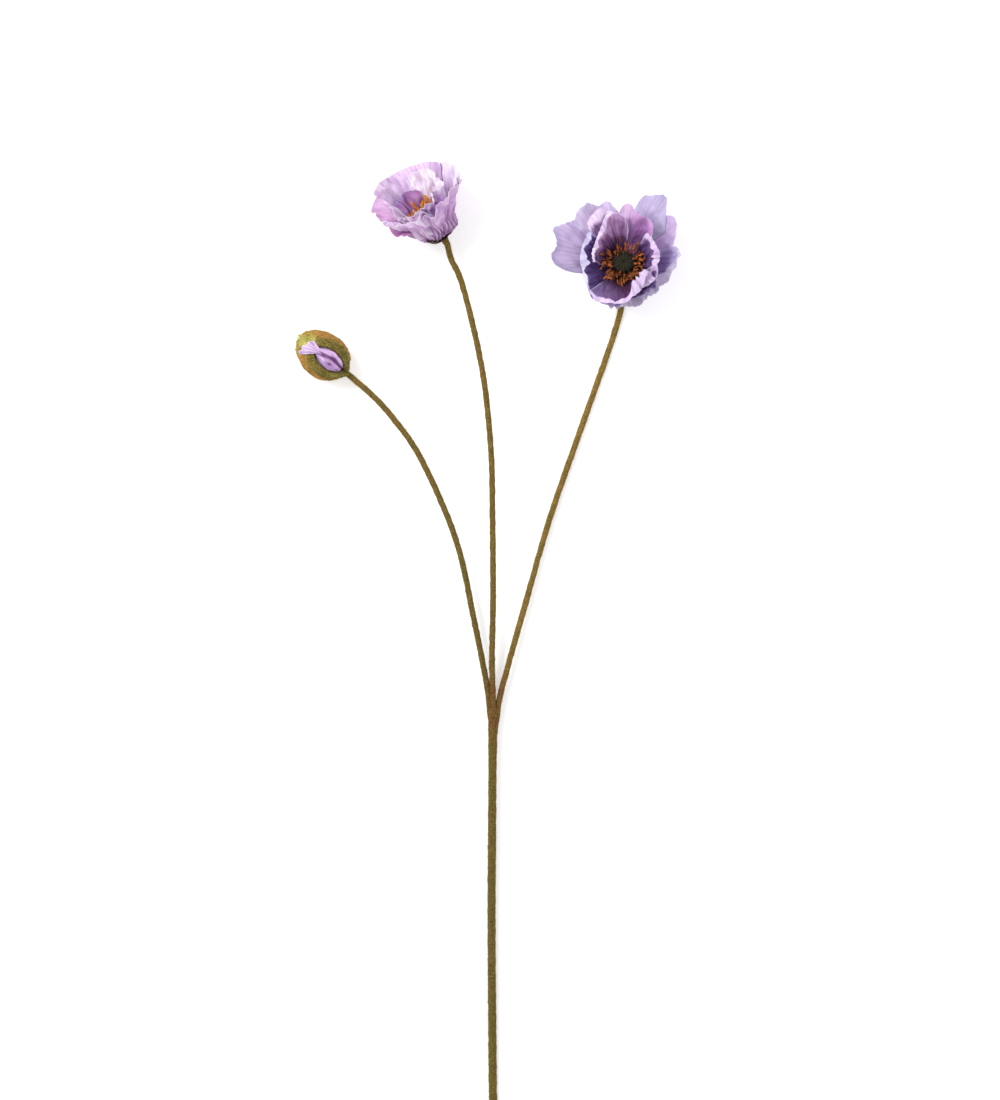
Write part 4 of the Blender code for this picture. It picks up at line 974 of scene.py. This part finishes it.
def collar_ring(collar_top):
    """The ring round the pistil's foot that holds the stamens, with rounded edges."""
    segments, corners = 64, 12
    section = ring_turns(corners)
    radius = (COLLAR_INNER + COLLAR_OUTER) / 2 + (COLLAR_OUTER - COLLAR_INNER) / 2 * np.cos(section)
    height = collar_top - COLLAR_HEIGHT / 2 + COLLAR_HEIGHT / 2 * np.sin(section)
    points = round_point(radius, ring_turns(segments)[:, None], height).reshape(-1, 3)
    at = np.arange(segments * corners).reshape(segments, corners)
    after, beside = np.roll(at, -1, axis=0), np.roll(at, -1, axis=1)
    quads = np.stack([at, after, np.roll(after, -1, axis=1), beside], -1).reshape(-1, 4)
    return points, [quads]


# Bud

def bud_radius(share):
    """The bud's radius at a share of its length: an egg, fuller towards the stem."""
    share = np.clip(share, 0, 1)
    fullness = 1 + BUD_FULLNESS * np.cos(np.pi * share)
    return BUD_WIDTH / 2 * np.sqrt(np.clip(1 - (2 * share - 1) ** 2, 0, 1)) * fullness


def slit_half_width(share):
    """Half the gap between the sepals' edges on the bud's upper side, in metres."""
    inside = np.clip((share - SLIT_FROM) / (SLIT_TO - SLIT_FROM), 0, 1)
    notch = TIP_NOTCH * smoothstep((share - 0.9) / 0.09)
    return SEAM_HALF_GAP + notch + SLIT_HALF_WIDTH * np.sin(np.pi * inside) ** SLIT_BLUNTNESS


def add_sepal(name, side, matrix, look):
    """One boat-shaped downy sepal, with a thick soft margin round the slit."""
    columns, rows = 62, 72
    first, last = math.acos(1 - 2 * SEPAL_FROM), math.acos(1 - 2 * SEPAL_TO)
    shares = 0.5 - 0.5 * np.cos(np.linspace(first, last, rows))
    share_across = np.linspace(0, 1, columns)[:, None] ** 1.25
    skins = []
    for inset in (0, SEPAL_THICKNESS):
        radius = np.maximum(bud_radius(shares) - inset, 0.25 * MM)
        opening = np.arcsin(np.clip(slit_half_width(shares) / bud_radius(shares), 0, 0.8))
        closing = np.pi - np.minimum(SEAM_HALF_GAP / bud_radius(shares), 0.6)
        turn = side * (opening + (closing - opening) * share_across)
        spot = round_point(radius, turn, (shares - 0.5) * BUD_LENGTH * (1 - 2 * inset / BUD_LENGTH))
        if inset == 0:
            lumps = ripples(11 + side, spot / MM, SEPAL_LUMPS) * smoothstep(radius / (5 * MM))
            margin = SEPAL_MARGIN * np.exp(-((share_across * 9 - 0.6) ** 2))
            spot = spot * (1 + (lumps + margin)[..., None] * MM / np.maximum(radius, 3 * MM)[..., None])
        skins.append(spot)
    points, faces = shell(*skins)
    if side < 0:
        faces = [f[:, ::-1] for f in faces]
    world = moved(points, matrix)
    world[:, 2] = np.maximum(world[:, 2], 0)
    tint = sepal_tint(points, np.tile(np.repeat(share_across, rows), 2))
    marks = {"tint": tint, "shade": np.full(len(world), DOWN_SHADE)}
    obj = add_mesh(name + "_skin", world, faces, look, marks)
    stand_for(obj, "sepal_down", name)
    return obj


def sepal_tint(points, share_across):
    """Gold and rust on the flanks, partly painted sheen, dark olive by the slit and yellow-green at the tip,
    in the bud's own frame.
    """
    along = points[:, 2] / BUD_LENGTH + 0.5
    # Painted sheen in part: the flanks turn away at grazing angles, where the down would glow gold and rust
    flank = smoothstep((share_across - 0.12) / 0.17)
    tip = smoothstep((along - 0.7) / 0.2)
    low = smoothstep((0.35 - along) / 0.3)
    patch = smoothstep(ripples(5, points / MM, [(14, 0.9)]) + 0.6)
    gold = np.clip(0.08 + 0.95 * flank - 0.35 * low - 0.3 * tip, 0, 1)
    rust = 0.5 * flank * (1 - 0.7 * tip) * patch
    moss = np.clip(0.05 + 1.1 * tip * (1 - 0.4 * flank) + 0.2 * low * patch, 0, 1)
    return np.stack([gold, rust, moss], -1)


def bud_lobes():
    """The two folded lobes that fill the slit, parted by a crease: points, faces, petal marks and relief."""
    top = np.radians(np.linspace(-SLIT_ARC, SLIT_ARC, 121))
    back = np.radians(np.linspace(SLIT_ARC, 360 - SLIT_ARC, 17))[1:-1]
    turns = np.concatenate([top, back])
    shares = np.linspace(CORE_FROM, CORE_TO, 100)[:, None]
    height = (shares - 0.5) * BUD_LENGTH * (1 - 2 * CORE_INSET / BUD_LENGTH)
    at = height / BUD_LENGTH + 0.5
    half = slit_half_width(at) - BULGE_CLEARANCE
    side = np.where(np.cos(turns) > 0, np.abs(np.sin(turns)) * bud_radius(at), 1.0)
    open_here = np.where(half > 0, smoothstep((half - side) / BULGE_SHOULDER), 0)
    bent = np.sin(turns) * bud_radius(at) - CREASE_SWAY * np.sin(7 * (at - 0.1))
    crease = CREASE_DEPTH * np.exp(-((bent / CREASE_WIDTH) ** 2)) * open_here
    reach = side / np.maximum(half, 1.0 * MM) * np.sign(np.sin(turns))
    # Folds run along the lobes and crowd together at the waist
    folds = 0.5 * np.sin(9 * reach + 2.2 * np.sin(8 * at) + 0.8)
    folds = folds + 0.25 * np.sin(19 * reach - 3 * np.sin(7 * at))
    spot = np.stack(np.broadcast_arrays(reach * 5, at * 16), -1)
    folds = folds + ripples(21, spot, [(4, 0.35), (1.8, 0.12)])
    radius = bud_radius(shares) - CORE_INSET + BULGE * open_here - crease + folds * LOBE_FOLD * open_here
    spot = round_point(np.maximum(radius, 0.6 * MM), turns, height)
    ends = [(0, 0, spot[0, 0, 2]), (0, 0, spot[-1, 0, 2])]
    marks = np.stack(np.broadcast_arrays(reach, 8 + 24 * at, 9), -1).reshape(-1, 3)
    # The relief paints shade along the crease and in the folds' valleys, and highlights on the folds' crests
    relief = np.clip(0.15 + folds * 0.7 - 2 * crease / CREASE_DEPTH, -1, 1).ravel()
    points, marks = np.vstack([spot.reshape(-1, 3), ends]), np.vstack([marks, [(0, 8, 4)] * 2])
    return points, round_faces(*spot.shape[:2]), marks, np.append(relief, [0, 0])


def bud_fan():
    """The pleated fan beyond the waist: points, faces, petal marks and relief."""
    across, along = np.meshgrid(np.linspace(-1, 1, 90), np.linspace(0, 1, 44), indexing="ij")
    end = along * (1 - 0.12 * across**2 + 0.06 * np.cos(9 * across + 1))
    shortened = np.where(across * FAN_SIDE > 0, 1, 1 - 0.22 * np.abs(across))
    share = FAN_FROM + (FAN_TO - FAN_FROM) * end * shortened
    half = FAN_NECK_HALF + (FAN_END_HALF - FAN_NECK_HALF) * along**0.85
    skew = across + 0.07 * ripples(23, np.stack([across * 3, along], -1), [(1.4, 1)])
    pleat = 0.7 * np.cos(4.5 * np.pi * skew + 0.4) + 0.3 * np.cos(9 * np.pi * skew + 2 * along)
    radius = bud_radius(share) + SEAT + FAN_OFF + FAN_RISE + FAN_PLEAT * pleat * (0.35 + 0.65 * along)
    turn = (across * half + FAN_SIDE * FAN_SWAY * along) / bud_radius(share)
    points, faces = thin_sheet(round_point(radius, turn, (share - 0.5) * BUD_LENGTH), FAN_THICKNESS)
    marks = np.stack([across * 0.8, 20 + 16 * along, (1 - along) * 8], -1).reshape(-1, 3)
    # The pleats' relief paints shade in their valleys and highlights on their crests
    return points, faces, np.tile(marks, (2, 1)), np.tile(np.clip(pleat, -1, 1).ravel(), 2)


def bud_waist():
    """The twisted waist between lobes and fan, ridged like a wrung cloth: points, faces, marks and relief."""
    low, high = bud_radius(0.6) - CORE_INSET - 2 * MM, bud_radius(FAN_FROM) + SEAT + FAN_OFF
    path = [(low, 0, 0.05 * BUD_LENGTH), (high - 1 * MM, 0, 0.12 * BUD_LENGTH), (high, 0, 0.19 * BUD_LENGTH)]
    path = smooth_route(path, [12, 12])
    sides = 30
    ridges = 1 + 0.14 * np.cos(7 * ring_turns(sides))
    points, faces = tube(path, np.linspace(1.7, 1.0, len(path))[:, None] * ridges * MM, sides)
    return points, faces, np.tile([(0.2, 17, 9)], (len(points), 1)), np.zeros(len(points))


def add_bud_petals(matrix, look):
    """The bud's crumpled petals: lobes in the slit, a twisted waist and a pleated fan."""
    parts = [bud_lobes(), bud_fan(), bud_waist()]
    points, faces = gathered([part[:2] for part in parts])
    obj = add_mesh("bud_petals_silk", moved(points, matrix), faces, look, {
        "petal": np.vstack([part[2] for part in parts]),
        "inner": np.ones(len(points)),
        "band": np.full(len(points), NO_BAND),
        "fold": np.concatenate([part[3] for part in parts]),
    })
    stand_for(obj, "bud_petal", "bud_petals")


# Stem

def stretches(route):
    """How many steps each stretch of a route takes."""
    lengths = np.linalg.norm(np.diff(np.array(route, float), axis=0), axis=1)
    return [max(1, round(length / (ROUTE_STEP / MM))) for length in lengths]


def stem_paths():
    """The centre lines of the stalk and of the bud, half-open and open branches, each with its radii."""
    stalk = smooth_route(STALK_ROUTE, stretches(STALK_ROUTE))
    run = np.linspace(0, 1, len(stalk))
    swell = STALK_RADIUS + (FORK_RADIUS - STALK_RADIUS) * smoothstep((run - FORK_FROM) / FORK_SWELL)
    swell = swell * (1 - 0.6 * smoothstep((run - 0.95) / 0.05))
    paths = [(stalk * MM + np.array(CUT_END), swell)]
    for route, base, axis in (
        (BUD_ROUTE, None, None),
        (HALF_ROUTE, HALF_BASE, leaning(HALF_HEADING, HALF_TILT)),
        (OPEN_ROUTE, OPEN_BASE, leaning(OPEN_HEADING, OPEN_TILT)),
    ):
        points = list(route)
        if base:
            top = np.array(base) + np.array(axis) * (CALYX_HEIGHT - SEAT) / MM
            points += [tuple(top - np.array(axis) * RECEPTACLE_LENGTH / MM), tuple(top)]
        path = smooth_route(points, stretches(points))
        from_start = np.linalg.norm(path - path[0], axis=1)
        radii = BRANCH_RADIUS * (0.4 + 0.6 * smoothstep(from_start / BRANCH_START))
        if base:
            to_end = np.linalg.norm(path - path[-1], axis=1) * MM
            radii += (RECEPTACLE_RADIUS - BRANCH_RADIUS) * smoothstep(1 - to_end / RECEPTACLE_LENGTH)
        paths.append((path * MM + np.array(CUT_END), radii))
    return paths


# The down's tints on the stalk and on the bud's, the half-open and the open bloom's branches. Gold and moss
# are what each starts with and what it gains to its end. Rust comes in patches, and gathers at the fork
GOLD = np.array([(0.1, 0), (0, 0.45), (0.35, 0.25), (0.5, 0.5)])
MOSS = np.array([(0.55, -0.3), (0.25, 0), (0.1, 0), (0.15, 0)])
RUST = np.array([0, 0.25, 0.45, 0.22])
FORK_AT, FORK_STAIN, FORK_RUST = 262, 22, 0.6
# How many points are measured against a path at a time
BATCH = 4000


def stem_tint(points, paths):
    """The down's colours along the stem, from how far along which branch each point lies."""
    best = np.full(len(points), np.inf)
    branch, share = np.zeros(len(points), int), np.zeros(len(points))
    for number, (path, _) in enumerate(paths):
        for first in range(0, len(points), BATCH):
            span = slice(first, first + BATCH)
            gap = np.linalg.norm(points[span][:, None] - path[None], axis=-1)
            closer = gap.min(1) < best[span]
            best[span] = np.where(closer, gap.min(1), best[span])
            branch[span] = np.where(closer, number, branch[span])
            share[span] = np.where(closer, gap.argmin(1) / (len(path) - 1), share[span])
    patch = smoothstep(ripples(31, points / MM, [(26, 0.7), (60, 0.5)]) * 0.6 + 0.45)
    fork = np.exp(-(((points[:, 1] - CUT_END.y) / MM - FORK_AT) / FORK_STAIN) ** 2)
    gold = (GOLD[branch, 0] + GOLD[branch, 1] * share) * (0.6 + 0.5 * patch)
    moss = (MOSS[branch, 0] + MOSS[branch, 1] * share) * (1 - fork)
    rust = RUST[branch] * patch + FORK_RUST * fork
    return np.clip(np.stack([gold, rust, moss], -1), 0, 1)


def add_stem(look):
    """The downy skin of the whole stem, its four stretches grown together at the fork."""
    paths = stem_paths()
    skin = joined("stem_skin", [tube(path, radii, STEM_SIDES) for path, radii in paths], look)
    mesh = skin.data
    points = values_of(mesh.vertices, "co").astype(float)
    normals = values_of(mesh.vertices, "normal")
    points = points + normals * (ripples(41, points / MM, STEM_LUMPS) * MM)[:, None]
    points[:, 2] = np.maximum(points[:, 2], 0)
    mesh.vertices.foreach_set("co", points.astype(np.float32).ravel())
    set_marks(mesh, {"tint": stem_tint(points, paths), "shade": np.full(len(points), DOWN_SHADE)})
    mesh.update()
    mesh.shade_smooth()
    stand_for(skin, "stem_down", "stem")
    return skin


# Hairs lean at random by HAIR_LEAN, start a little inside the skin, and stay this far over the table
HAIR_LEAN = 0.42
HAIR_ROOT = 0.08 * MM
ROOT_OVER_TABLE, TIP_OVER_TABLE = 0.01 * MM, 0.02 * MM
# A hair's four points are this much lighter or darker than the skin: its root's three, then its tip
HAIR_TONES = np.array([0.8, 0.8, 0.8, 1.2])


def add_hairs(name, skin, count, length, width, slot, seed, growth=None):
    """Down: short tapering hairs rooted in a skin, each a thin closed spike that leans at random."""
    rng = np.random.default_rng(seed)
    mesh = skin.data
    mesh.calc_loop_triangles()
    corners = values_of(mesh.loop_triangles, "vertices", np.int32)
    points = values_of(mesh.vertices, "co").astype(float)
    tint = values_of(mesh.attributes["tint"].data, "vector")
    a, b, c = (points[corners[:, k]] for k in range(3))
    cross = np.cross(b - a, c - a)
    area = np.linalg.norm(cross, axis=1)
    if growth is not None:
        area = area * growth(corners, points)
    chosen = rng.choice(len(area), count, p=area / area.sum())
    u, v = rng.uniform(size=(2, count))
    u, v = np.where(u + v > 1, 1 - u, u), np.where(u + v > 1, 1 - v, v)
    root = a[chosen] + (b - a)[chosen] * u[:, None] + (c - a)[chosen] * v[:, None]
    normal = cross[chosen] / np.linalg.norm(cross[chosen], axis=1)[:, None]
    way = normal + rng.normal(size=(count, 3)) * HAIR_LEAN
    way /= np.linalg.norm(way, axis=1)[:, None]
    side = np.cross(way, rng.normal(size=(count, 3)))
    side /= np.linalg.norm(side, axis=1)[:, None]
    other = np.cross(way, side)
    long = rng.uniform(*length, count)[:, None]
    base = root - normal * HAIR_ROOT
    ring = [base + width * (math.cos(t) * side + math.sin(t) * other) for t in ring_turns(3)]
    tip = root + way * long
    tip[:, 2] = np.maximum(tip[:, 2], TIP_OVER_TABLE)
    spikes = np.stack([*ring, tip], 1).reshape(-1, 3)
    spikes[:, 2] = np.maximum(spikes[:, 2], ROOT_OVER_TABLE)
    first = np.arange(count)[:, None] * 4
    faces = np.vstack([first + np.array(f) for f in ((0, 1, 3), (1, 2, 3), (2, 0, 3), (0, 2, 1))])
    clump = 0.95 + 0.45 * np.tanh(ripples(seed, root / MM, [(2.2, 0.8), (1.2, 0.6)]))
    tone = (clump * rng.uniform(0.85, 1.15, count))[:, None] * HAIR_TONES
    marks = {"tint": np.repeat(tint[corners[chosen, 0]], 4, axis=0), "shade": tone.ravel()}
    obj = add_mesh(name, spikes, [faces], mesh.materials[0], marks, sharp=0)
    stand_for(obj, slot)


# Colours of the petals

LAVENDER = Silk(
    throat="#8A74AC", body="#B5A2CC", outer="#C9BBDF", edge="#ABA5CC", rim="#D6CCE8", back="#BDB0DA",
    vein="#8F7CAC", throat_to=14, outer_from=18, edge_width=6, valley=0.25, crest=0,
)
# Painted shade: the first and third petals' bluish-grey left tints darken their shaded sides, and the fifth
# and sixth petals' dark violet faces, throats, backs and greyer rims are painted shade of their cupped faces
OPEN_OUTER_SILKS = [
    LAVENDER._replace(
        body="#A494B2", outer="#B4A6C4", left="#928CA6", right="#BFB0D0", edge="#9691B4", back="#B0A4C8",
    ),
    LAVENDER._replace(body="#B7A1C8", outer="#D6C8E2", right="#C0B6D4", edge="#C4BAD8"),
    LAVENDER._replace(body="#AE9DC4", outer="#B9B0CE", left="#AAA5C0", edge="#AFAACA", rim="#CCC4DE"),
    LAVENDER._replace(body="#AE96C4", outer="#BAA6CC", edge="#CDB8DA", rim="#E2D0EC"),
    LAVENDER._replace(throat="#40305E", body="#76649A", outer="#8F82AE", edge="#B0A6C6", rim="#C6BDD6"),
    LAVENDER._replace(
        throat="#40305E", body="#75659A", outer="#8D80AA", edge="#B9B0CC", rim="#CFC7DB", back="#6B5E86",
    ),
]
# Its dark violet throat and body are partly painted shade inside the cup
VIOLET = Silk(
    throat="#33204A", body="#503A74", outer="#7A66A0", edge="#C8C3E6", rim="#D9D4EF", back="#9B86C0",
    vein="#43305E", throat_to=14, outer_from=20, edge_width=3, valley=0.25, crest=0,
)
OPEN_MIDDLE_SILKS = [
    VIOLET,
    VIOLET._replace(throat="#6E4F8C", body="#A98ABF", outer="#D9BFE0", edge="#DDC4E6", rim="#E0CAEA"),
    VIOLET._replace(
        throat="#7A5292", body="#B080BC", outer="#C697CE", left="#EAD6EC", edge="#CD9CD0", rim="#DDB8E0",
        edge_width=5,
    ),
    VIOLET._replace(body="#4C3668", outer="#5A4478", edge="#6A568A", rim="#7A6898"),
]
# Its near-black throat is partly painted shade deep in the cup
PLUM = Silk(
    throat="#2A1730", body="#633A68", outer="#9A6EA4", edge="#D2BCE2", rim="#E4D3EF", back="#8C6BA8",
    vein="#4E2C58", throat_to=17, outer_from=17, edge_width=2.5, valley=0.25, crest=0,
)
# The first petal's dark left tint is partly painted shade on its side that lies in the cup
OPEN_INNER_SILKS = [
    PLUM._replace(
        throat="#38203E", body="#84568C", outer="#DAB2DC", left="#54355F", right="#A884B2",
        edge="#C3A0CC", vein="#6A4274", rim="#E6D6F2",
    ),
    PLUM._replace(
        throat="#2A1426", body="#4A2446", outer="#66386A", right="#8270A0", edge="#C9B2DE", rim="#DDC9EA",
    ),
    PLUM._replace(body="#634680", outer="#7E5C92", edge="#CDB2DC", rim="#DEC7E8"),
]
# Its strong fold shares paint shade in the pleats' valleys and highlights on their crests
PINK_LILAC = Silk(
    throat="#8A5F98", body="#C69CCE", outer="#D6B8DE", edge="#DCC2E4", rim="#F2E2F6", back="#D0ABDA",
    vein="#84588A", throat_to=12, outer_from=14, edge_width=5, valley=0.6, crest=0.4,
)
HALF_OUTER_SILKS = [
    PINK_LILAC._replace(back="#D0A9D8", edge="#E8D4EE", rim="#F4E8F8", right="#C0A8D0"),
    PINK_LILAC._replace(back="#C39BCD", edge="#DCC2E2", rim="#E6D0EC", left="#C28EC0"),
    PINK_LILAC._replace(outer="#E4D6EC", edge="#E8E0F0", rim="#F0E8F6", left="#EAD4F0"),
    PINK_LILAC._replace(outer="#DCC4E4", edge="#DAC0E0", left="#C8B4D0", right="#E8D0EE"),
    PINK_LILAC._replace(
        outer="#CCA4CC", edge="#C896C2", rim="#D6AED0", back="#CCB0D8", left="#CE9AC8", right="#BFA8C8",
    ),
]
HALF_INNER_SILKS = [
    PINK_LILAC._replace(back="#DAB8E0", outer="#EAD4EE", edge="#F4E6F8", rim="#FAF2FC", right="#C4B0DA"),
    PINK_LILAC._replace(
        throat="#B494C4", body="#DCC8E8", back="#C6A6DA", outer="#E6DAF0", edge="#EEE4F4",
    ),
    PINK_LILAC._replace(
        throat="#A8649C", body="#E2C4EA", outer="#F2E6F6", edge="#EEDCF2", rim="#F8F0FB", vein="#B98EC0",
    ),
    PINK_LILAC._replace(
        throat="#6A3E70", body="#A0699E", outer="#A97BB0", edge="#AC94CC", rim="#BBA4D6", vein="#7E4F84",
        left="#8A70B0", right="#B280B0", crest=0.15,
    ),
]
# Its grey-purple right tint is painted shade on the lobes' shaded side, and its fold shares paint shade along
# the crease and folds and highlights on their crests
BUD_SILK = Silk(
    throat="#7A4A86", body="#C69CD2", outer="#D8BEE2", left="#D8B4E0", right="#A68AB8", edge="#DCC8E8",
    rim="#F0E2F6", back="#C096D2", vein="#6E4070", throat_to=9, outer_from=18, edge_width=3, valley=0.9,
    crest=0.35,
)

# One layer of a bloom's petals: their surface, places, folds and colours, the slot of their finish, a seed
Layer = namedtuple("Layer", "name whorl petals folds silks slot seed")
# calyx_look, capsule_look and anther_look are a dry skin's name, dark colour and light colour
Bloom = namedtuple(
    "Bloom", "name base heading tilt calyx layers pistil_width collar_top stamens seed"
    " calyx_look capsule_look anther_look",
)
OPEN_BLOOM = Bloom(
    name="open", base=OPEN_BASE, heading=OPEN_HEADING, tilt=OPEN_TILT, calyx=OPEN_CALYX,
    layers=[
        Layer(
            "open_outer_petal", OPEN_OUTER, OPEN_OUTER_PETALS, OPEN_OUTER_FOLDS, OPEN_OUTER_SILKS,
            "open_outer_petal", 50,
        ),
        Layer(
            "open_middle_petal", OPEN_MIDDLE, OPEN_MIDDLE_PETALS, OPEN_MIDDLE_FOLDS, OPEN_MIDDLE_SILKS,
            "open_inner_petal", 60,
        ),
        Layer(
            "open_inner_petal", OPEN_INNER, OPEN_INNER_PETALS, OPEN_INNER_FOLDS, OPEN_INNER_SILKS,
            "open_inner_petal", 70,
        ),
    ],
    pistil_width=1.0, collar_top=OPEN_COLLAR_TOP, stamens=OPEN_STAMENS, seed=81,
    calyx_look=("dry calyx of the open bloom", "#1E1210", "#5A3020"),
    capsule_look=("dusty capsule", "#14110C", "#38341F"),
    anther_look=("rust anther", "#2E1610", "#B9652C"),
)
HALF_BLOOM = Bloom(
    name="half", base=HALF_BASE, heading=HALF_HEADING, tilt=HALF_TILT, calyx=HALF_CALYX,
    layers=[
        Layer(
            "half_outer_petal", HALF_OUTER, HALF_OUTER_PETALS, HALF_OUTER_FOLDS, HALF_OUTER_SILKS,
            "half_outer_petal", 90,
        ),
        Layer(
            "half_inner_petal", HALF_INNER, HALF_INNER_PETALS, HALF_INNER_FOLDS, HALF_INNER_SILKS,
            "half_inner_petal", 95,
        ),
    ],
    pistil_width=0.7, collar_top=HALF_COLLAR_TOP, stamens=HALF_STAMENS, seed=99,
    calyx_look=("dry calyx of the half-open bloom", "#170D0B", "#5A3020"),
    capsule_look=("young capsule", "#1C1A12", "#5E6444"),
    anther_look=("young orange anther", "#8A4420", "#F4A040"),
)
CALYX_GRAIN, CALYX_ROUGHNESS = 1.4 * MM, 0.7
CAPSULE_GRAIN, CAPSULE_ROUGHNESS = 0.8 * MM, 0.8
ANTHER_GRAIN, ANTHER_ROUGHNESS = 0.6 * MM, 0.75


def add_bloom(bloom):
    """One bloom: the calyx, the petals layer by layer, the pistil and the stamens."""
    matrix = frame_of(place(bloom.base), leaning(bloom.heading, bloom.tilt), Vector((1, 0, 0)))
    look = dry_skin(*bloom.calyx_look, CALYX_GRAIN, CALYX_ROUGHNESS)
    add_calyx(bloom.name + "_calyx", bloom.layers[0].whorl, bloom.calyx, matrix, look)
    for layer in bloom.layers:
        for number, (petal, silk) in enumerate(zip(layer.petals, layer.silks), 1):
            name = f"{layer.name}_{number}"
            look = petal_silk(name.replace("_", " ") + " silk", silk, layer.seed + number * 3.1)
            seeds = layer.seed, layer.seed * 100 + number
            add_petal(name, layer.whorl, petal, layer.folds, matrix, look, layer.slot, seeds)
    look = dry_skin(*bloom.capsule_look, CAPSULE_GRAIN, CAPSULE_ROUGHNESS)
    add_pistil(bloom.name + "_pistil", bloom.pistil_width, bloom.collar_top, matrix, look)
    look = dry_skin(*bloom.anther_look, ANTHER_GRAIN, ANTHER_ROUGHNESS)
    add_stamens(bloom.name + "_stamens", bloom.stamens, bloom.collar_top, matrix, look, bloom.seed)


# The gold and rust tones on the sepals' flanks are partly painted sheen
SEPAL_DOWN = Down("#6E642C", "#DFAC5A", "#C8843E", "#DDD676", "#3F3816", "#D2C878")
SEPAL_HAIRS, SEPAL_HAIR_LENGTH, SEPAL_HAIR_WIDTH = 10000, (0.35 * MM, 0.85 * MM), 0.08 * MM
BUD_FRAME = frame_of(place(BUD_CENTRE), leaning(BUD_HEADING, BUD_TILT), Vector((0, 0, 1)))
# Little down grows under the fan, this far from its middle, and it comes back over this length
UNDER_FAN, DOWN_RETURNS, LITTLE_DOWN = 4.5 * MM, 2 * MM, 0.1


def add_bud():
    """The bud: two downy sepals, and the petals that push out between them."""
    look = flocked_down("sepal down", SEPAL_DOWN)
    for number, side in ((1, 1), (2, -1)):
        skin = add_sepal(f"bud_sepal_{number}", side, BUD_FRAME, look)
        add_hairs(
            f"bud_down_{number}", skin, SEPAL_HAIRS, SEPAL_HAIR_LENGTH, SEPAL_HAIR_WIDTH, "sepal_down",
            120 + number, outside,
        )
    add_bud_petals(BUD_FRAME, petal_silk("crumpled bud silk", BUD_SILK, 4.4))


def outside(corners, points):
    """How much down grows on a sepal's triangles: none on its inner points, and little under the fan."""
    share = (FAN_FROM + FAN_TO) / 2
    fan_middle = BUD_FRAME @ Vector((float(bud_radius(share)), 0, (share - 0.5) * BUD_LENGTH))
    to_fan = np.linalg.norm(points[corners].mean(axis=1) - np.array(fan_middle), axis=1)
    growth = LITTLE_DOWN + (1 - LITTLE_DOWN) * smoothstep((to_fan - UNDER_FAN) / DOWN_RETURNS)
    return (corners < (corners.max() + 1) // 2).all(axis=1) * growth


# Lamps shine at the middle of the spray: where they hang, how wide they are, and their watts
Lamp = namedtuple("Lamp", "name spot width power")
LAMPS = [Lamp("key", (-1.6, 1.3, 2.3), 1.4, 62), Lamp("fill", (1.7, -0.6, 2.2), 1.6, 14)]
ROOM_LIGHT = 0.72
FLOOR_REACH = 4.0
FLOOR_TONE, FLOOR_GLOW = 0.93, 0.28


def add_stage():
    """A pale floor that glows a little, so that it shows white, with soft light all round and two lamps."""
    points = FLOOR_REACH * np.array([(-1, -1, 0), (1, -1, 0), (1, 1, 0), (-1, 1, 0)], float)
    floor_look, _, _ = new_material(
        "pale matt card", Base_Color=(FLOOR_TONE, FLOOR_TONE, FLOOR_TONE, 1), Roughness=0.9,
        Specular_IOR_Level=0.1, Emission_Color=(1, 1, 1, 1), Emission_Strength=FLOOR_GLOW,
    )
    add_mesh("floor", points, [np.array([[0, 1, 2, 3]])], floor_look, sharp=0)
    scene = bpy.context.scene
    scene.view_settings.view_transform = "Standard"
    scene.world = bpy.data.worlds.new("soft room")
    scene.world.use_nodes = True
    background = scene.world.node_tree.nodes["Background"]
    background.inputs["Color"].default_value = (1, 1, 1, 1)
    background.inputs["Strength"].default_value = ROOM_LIGHT
    for lamp in LAMPS:
        light = bpy.data.lights.new(lamp.name, "AREA")
        light.shape = "SQUARE"
        light.size = lamp.width
        light.energy = lamp.power
        obj = bpy.data.objects.new(lamp.name, light)
        obj.location = lamp.spot
        obj.rotation_euler = (-Vector(lamp.spot)).to_track_quat("-Z", "Y").to_euler()
        scene.collection.objects.link(obj)


# The photograph: its size in pixels, the pixel of the stem's middle at the cut end, and how wide a pixel is
PHOTO_SIZE = (1000, 1100)
CUT_END_PIXEL = (493.5, 1130)
PIXEL = 0.62 * MM
CAMERA_HEIGHT = 4.0
HEADS_HEIGHT = 15 * MM


def add_camera():
    """A camera that looks straight down, as the photograph looks at the spray, and frames it as it does."""
    camera = bpy.data.cameras.new("camera")
    camera.sensor_fit = "VERTICAL"
    camera.sensor_height = 36
    camera.lens = camera.sensor_height * (CAMERA_HEIGHT - HEADS_HEIGHT) / (PHOTO_SIZE[1] * PIXEL)
    camera.clip_end = 20
    obj = bpy.data.objects.new("camera", camera)
    x = CUT_END.x + (PHOTO_SIZE[0] / 2 - CUT_END_PIXEL[0]) * PIXEL
    y = CUT_END.y + (CUT_END_PIXEL[1] - PHOTO_SIZE[1] / 2) * PIXEL
    obj.location = (x, y, CAMERA_HEIGHT)
    bpy.context.scene.collection.objects.link(obj)
    bpy.context.scene.camera = obj


STEM_DOWN = Down("#6A5A28", "#A5843E", "#74492A", "#5F5A28", "#332B14", "#A8924E")
STEM_HAIRS, STEM_HAIR_LENGTH, STEM_HAIR_WIDTH = 45000, (0.35 * MM, 0.9 * MM), 0.06 * MM

add_stage()
add_camera()
stem = add_stem(flocked_down("stem down", STEM_DOWN))
add_hairs("stem_down", stem, STEM_HAIRS, STEM_HAIR_LENGTH, STEM_HAIR_WIDTH, "stem_down", 110)
add_bloom(OPEN_BLOOM)
add_bloom(HALF_BLOOM)
add_bud()
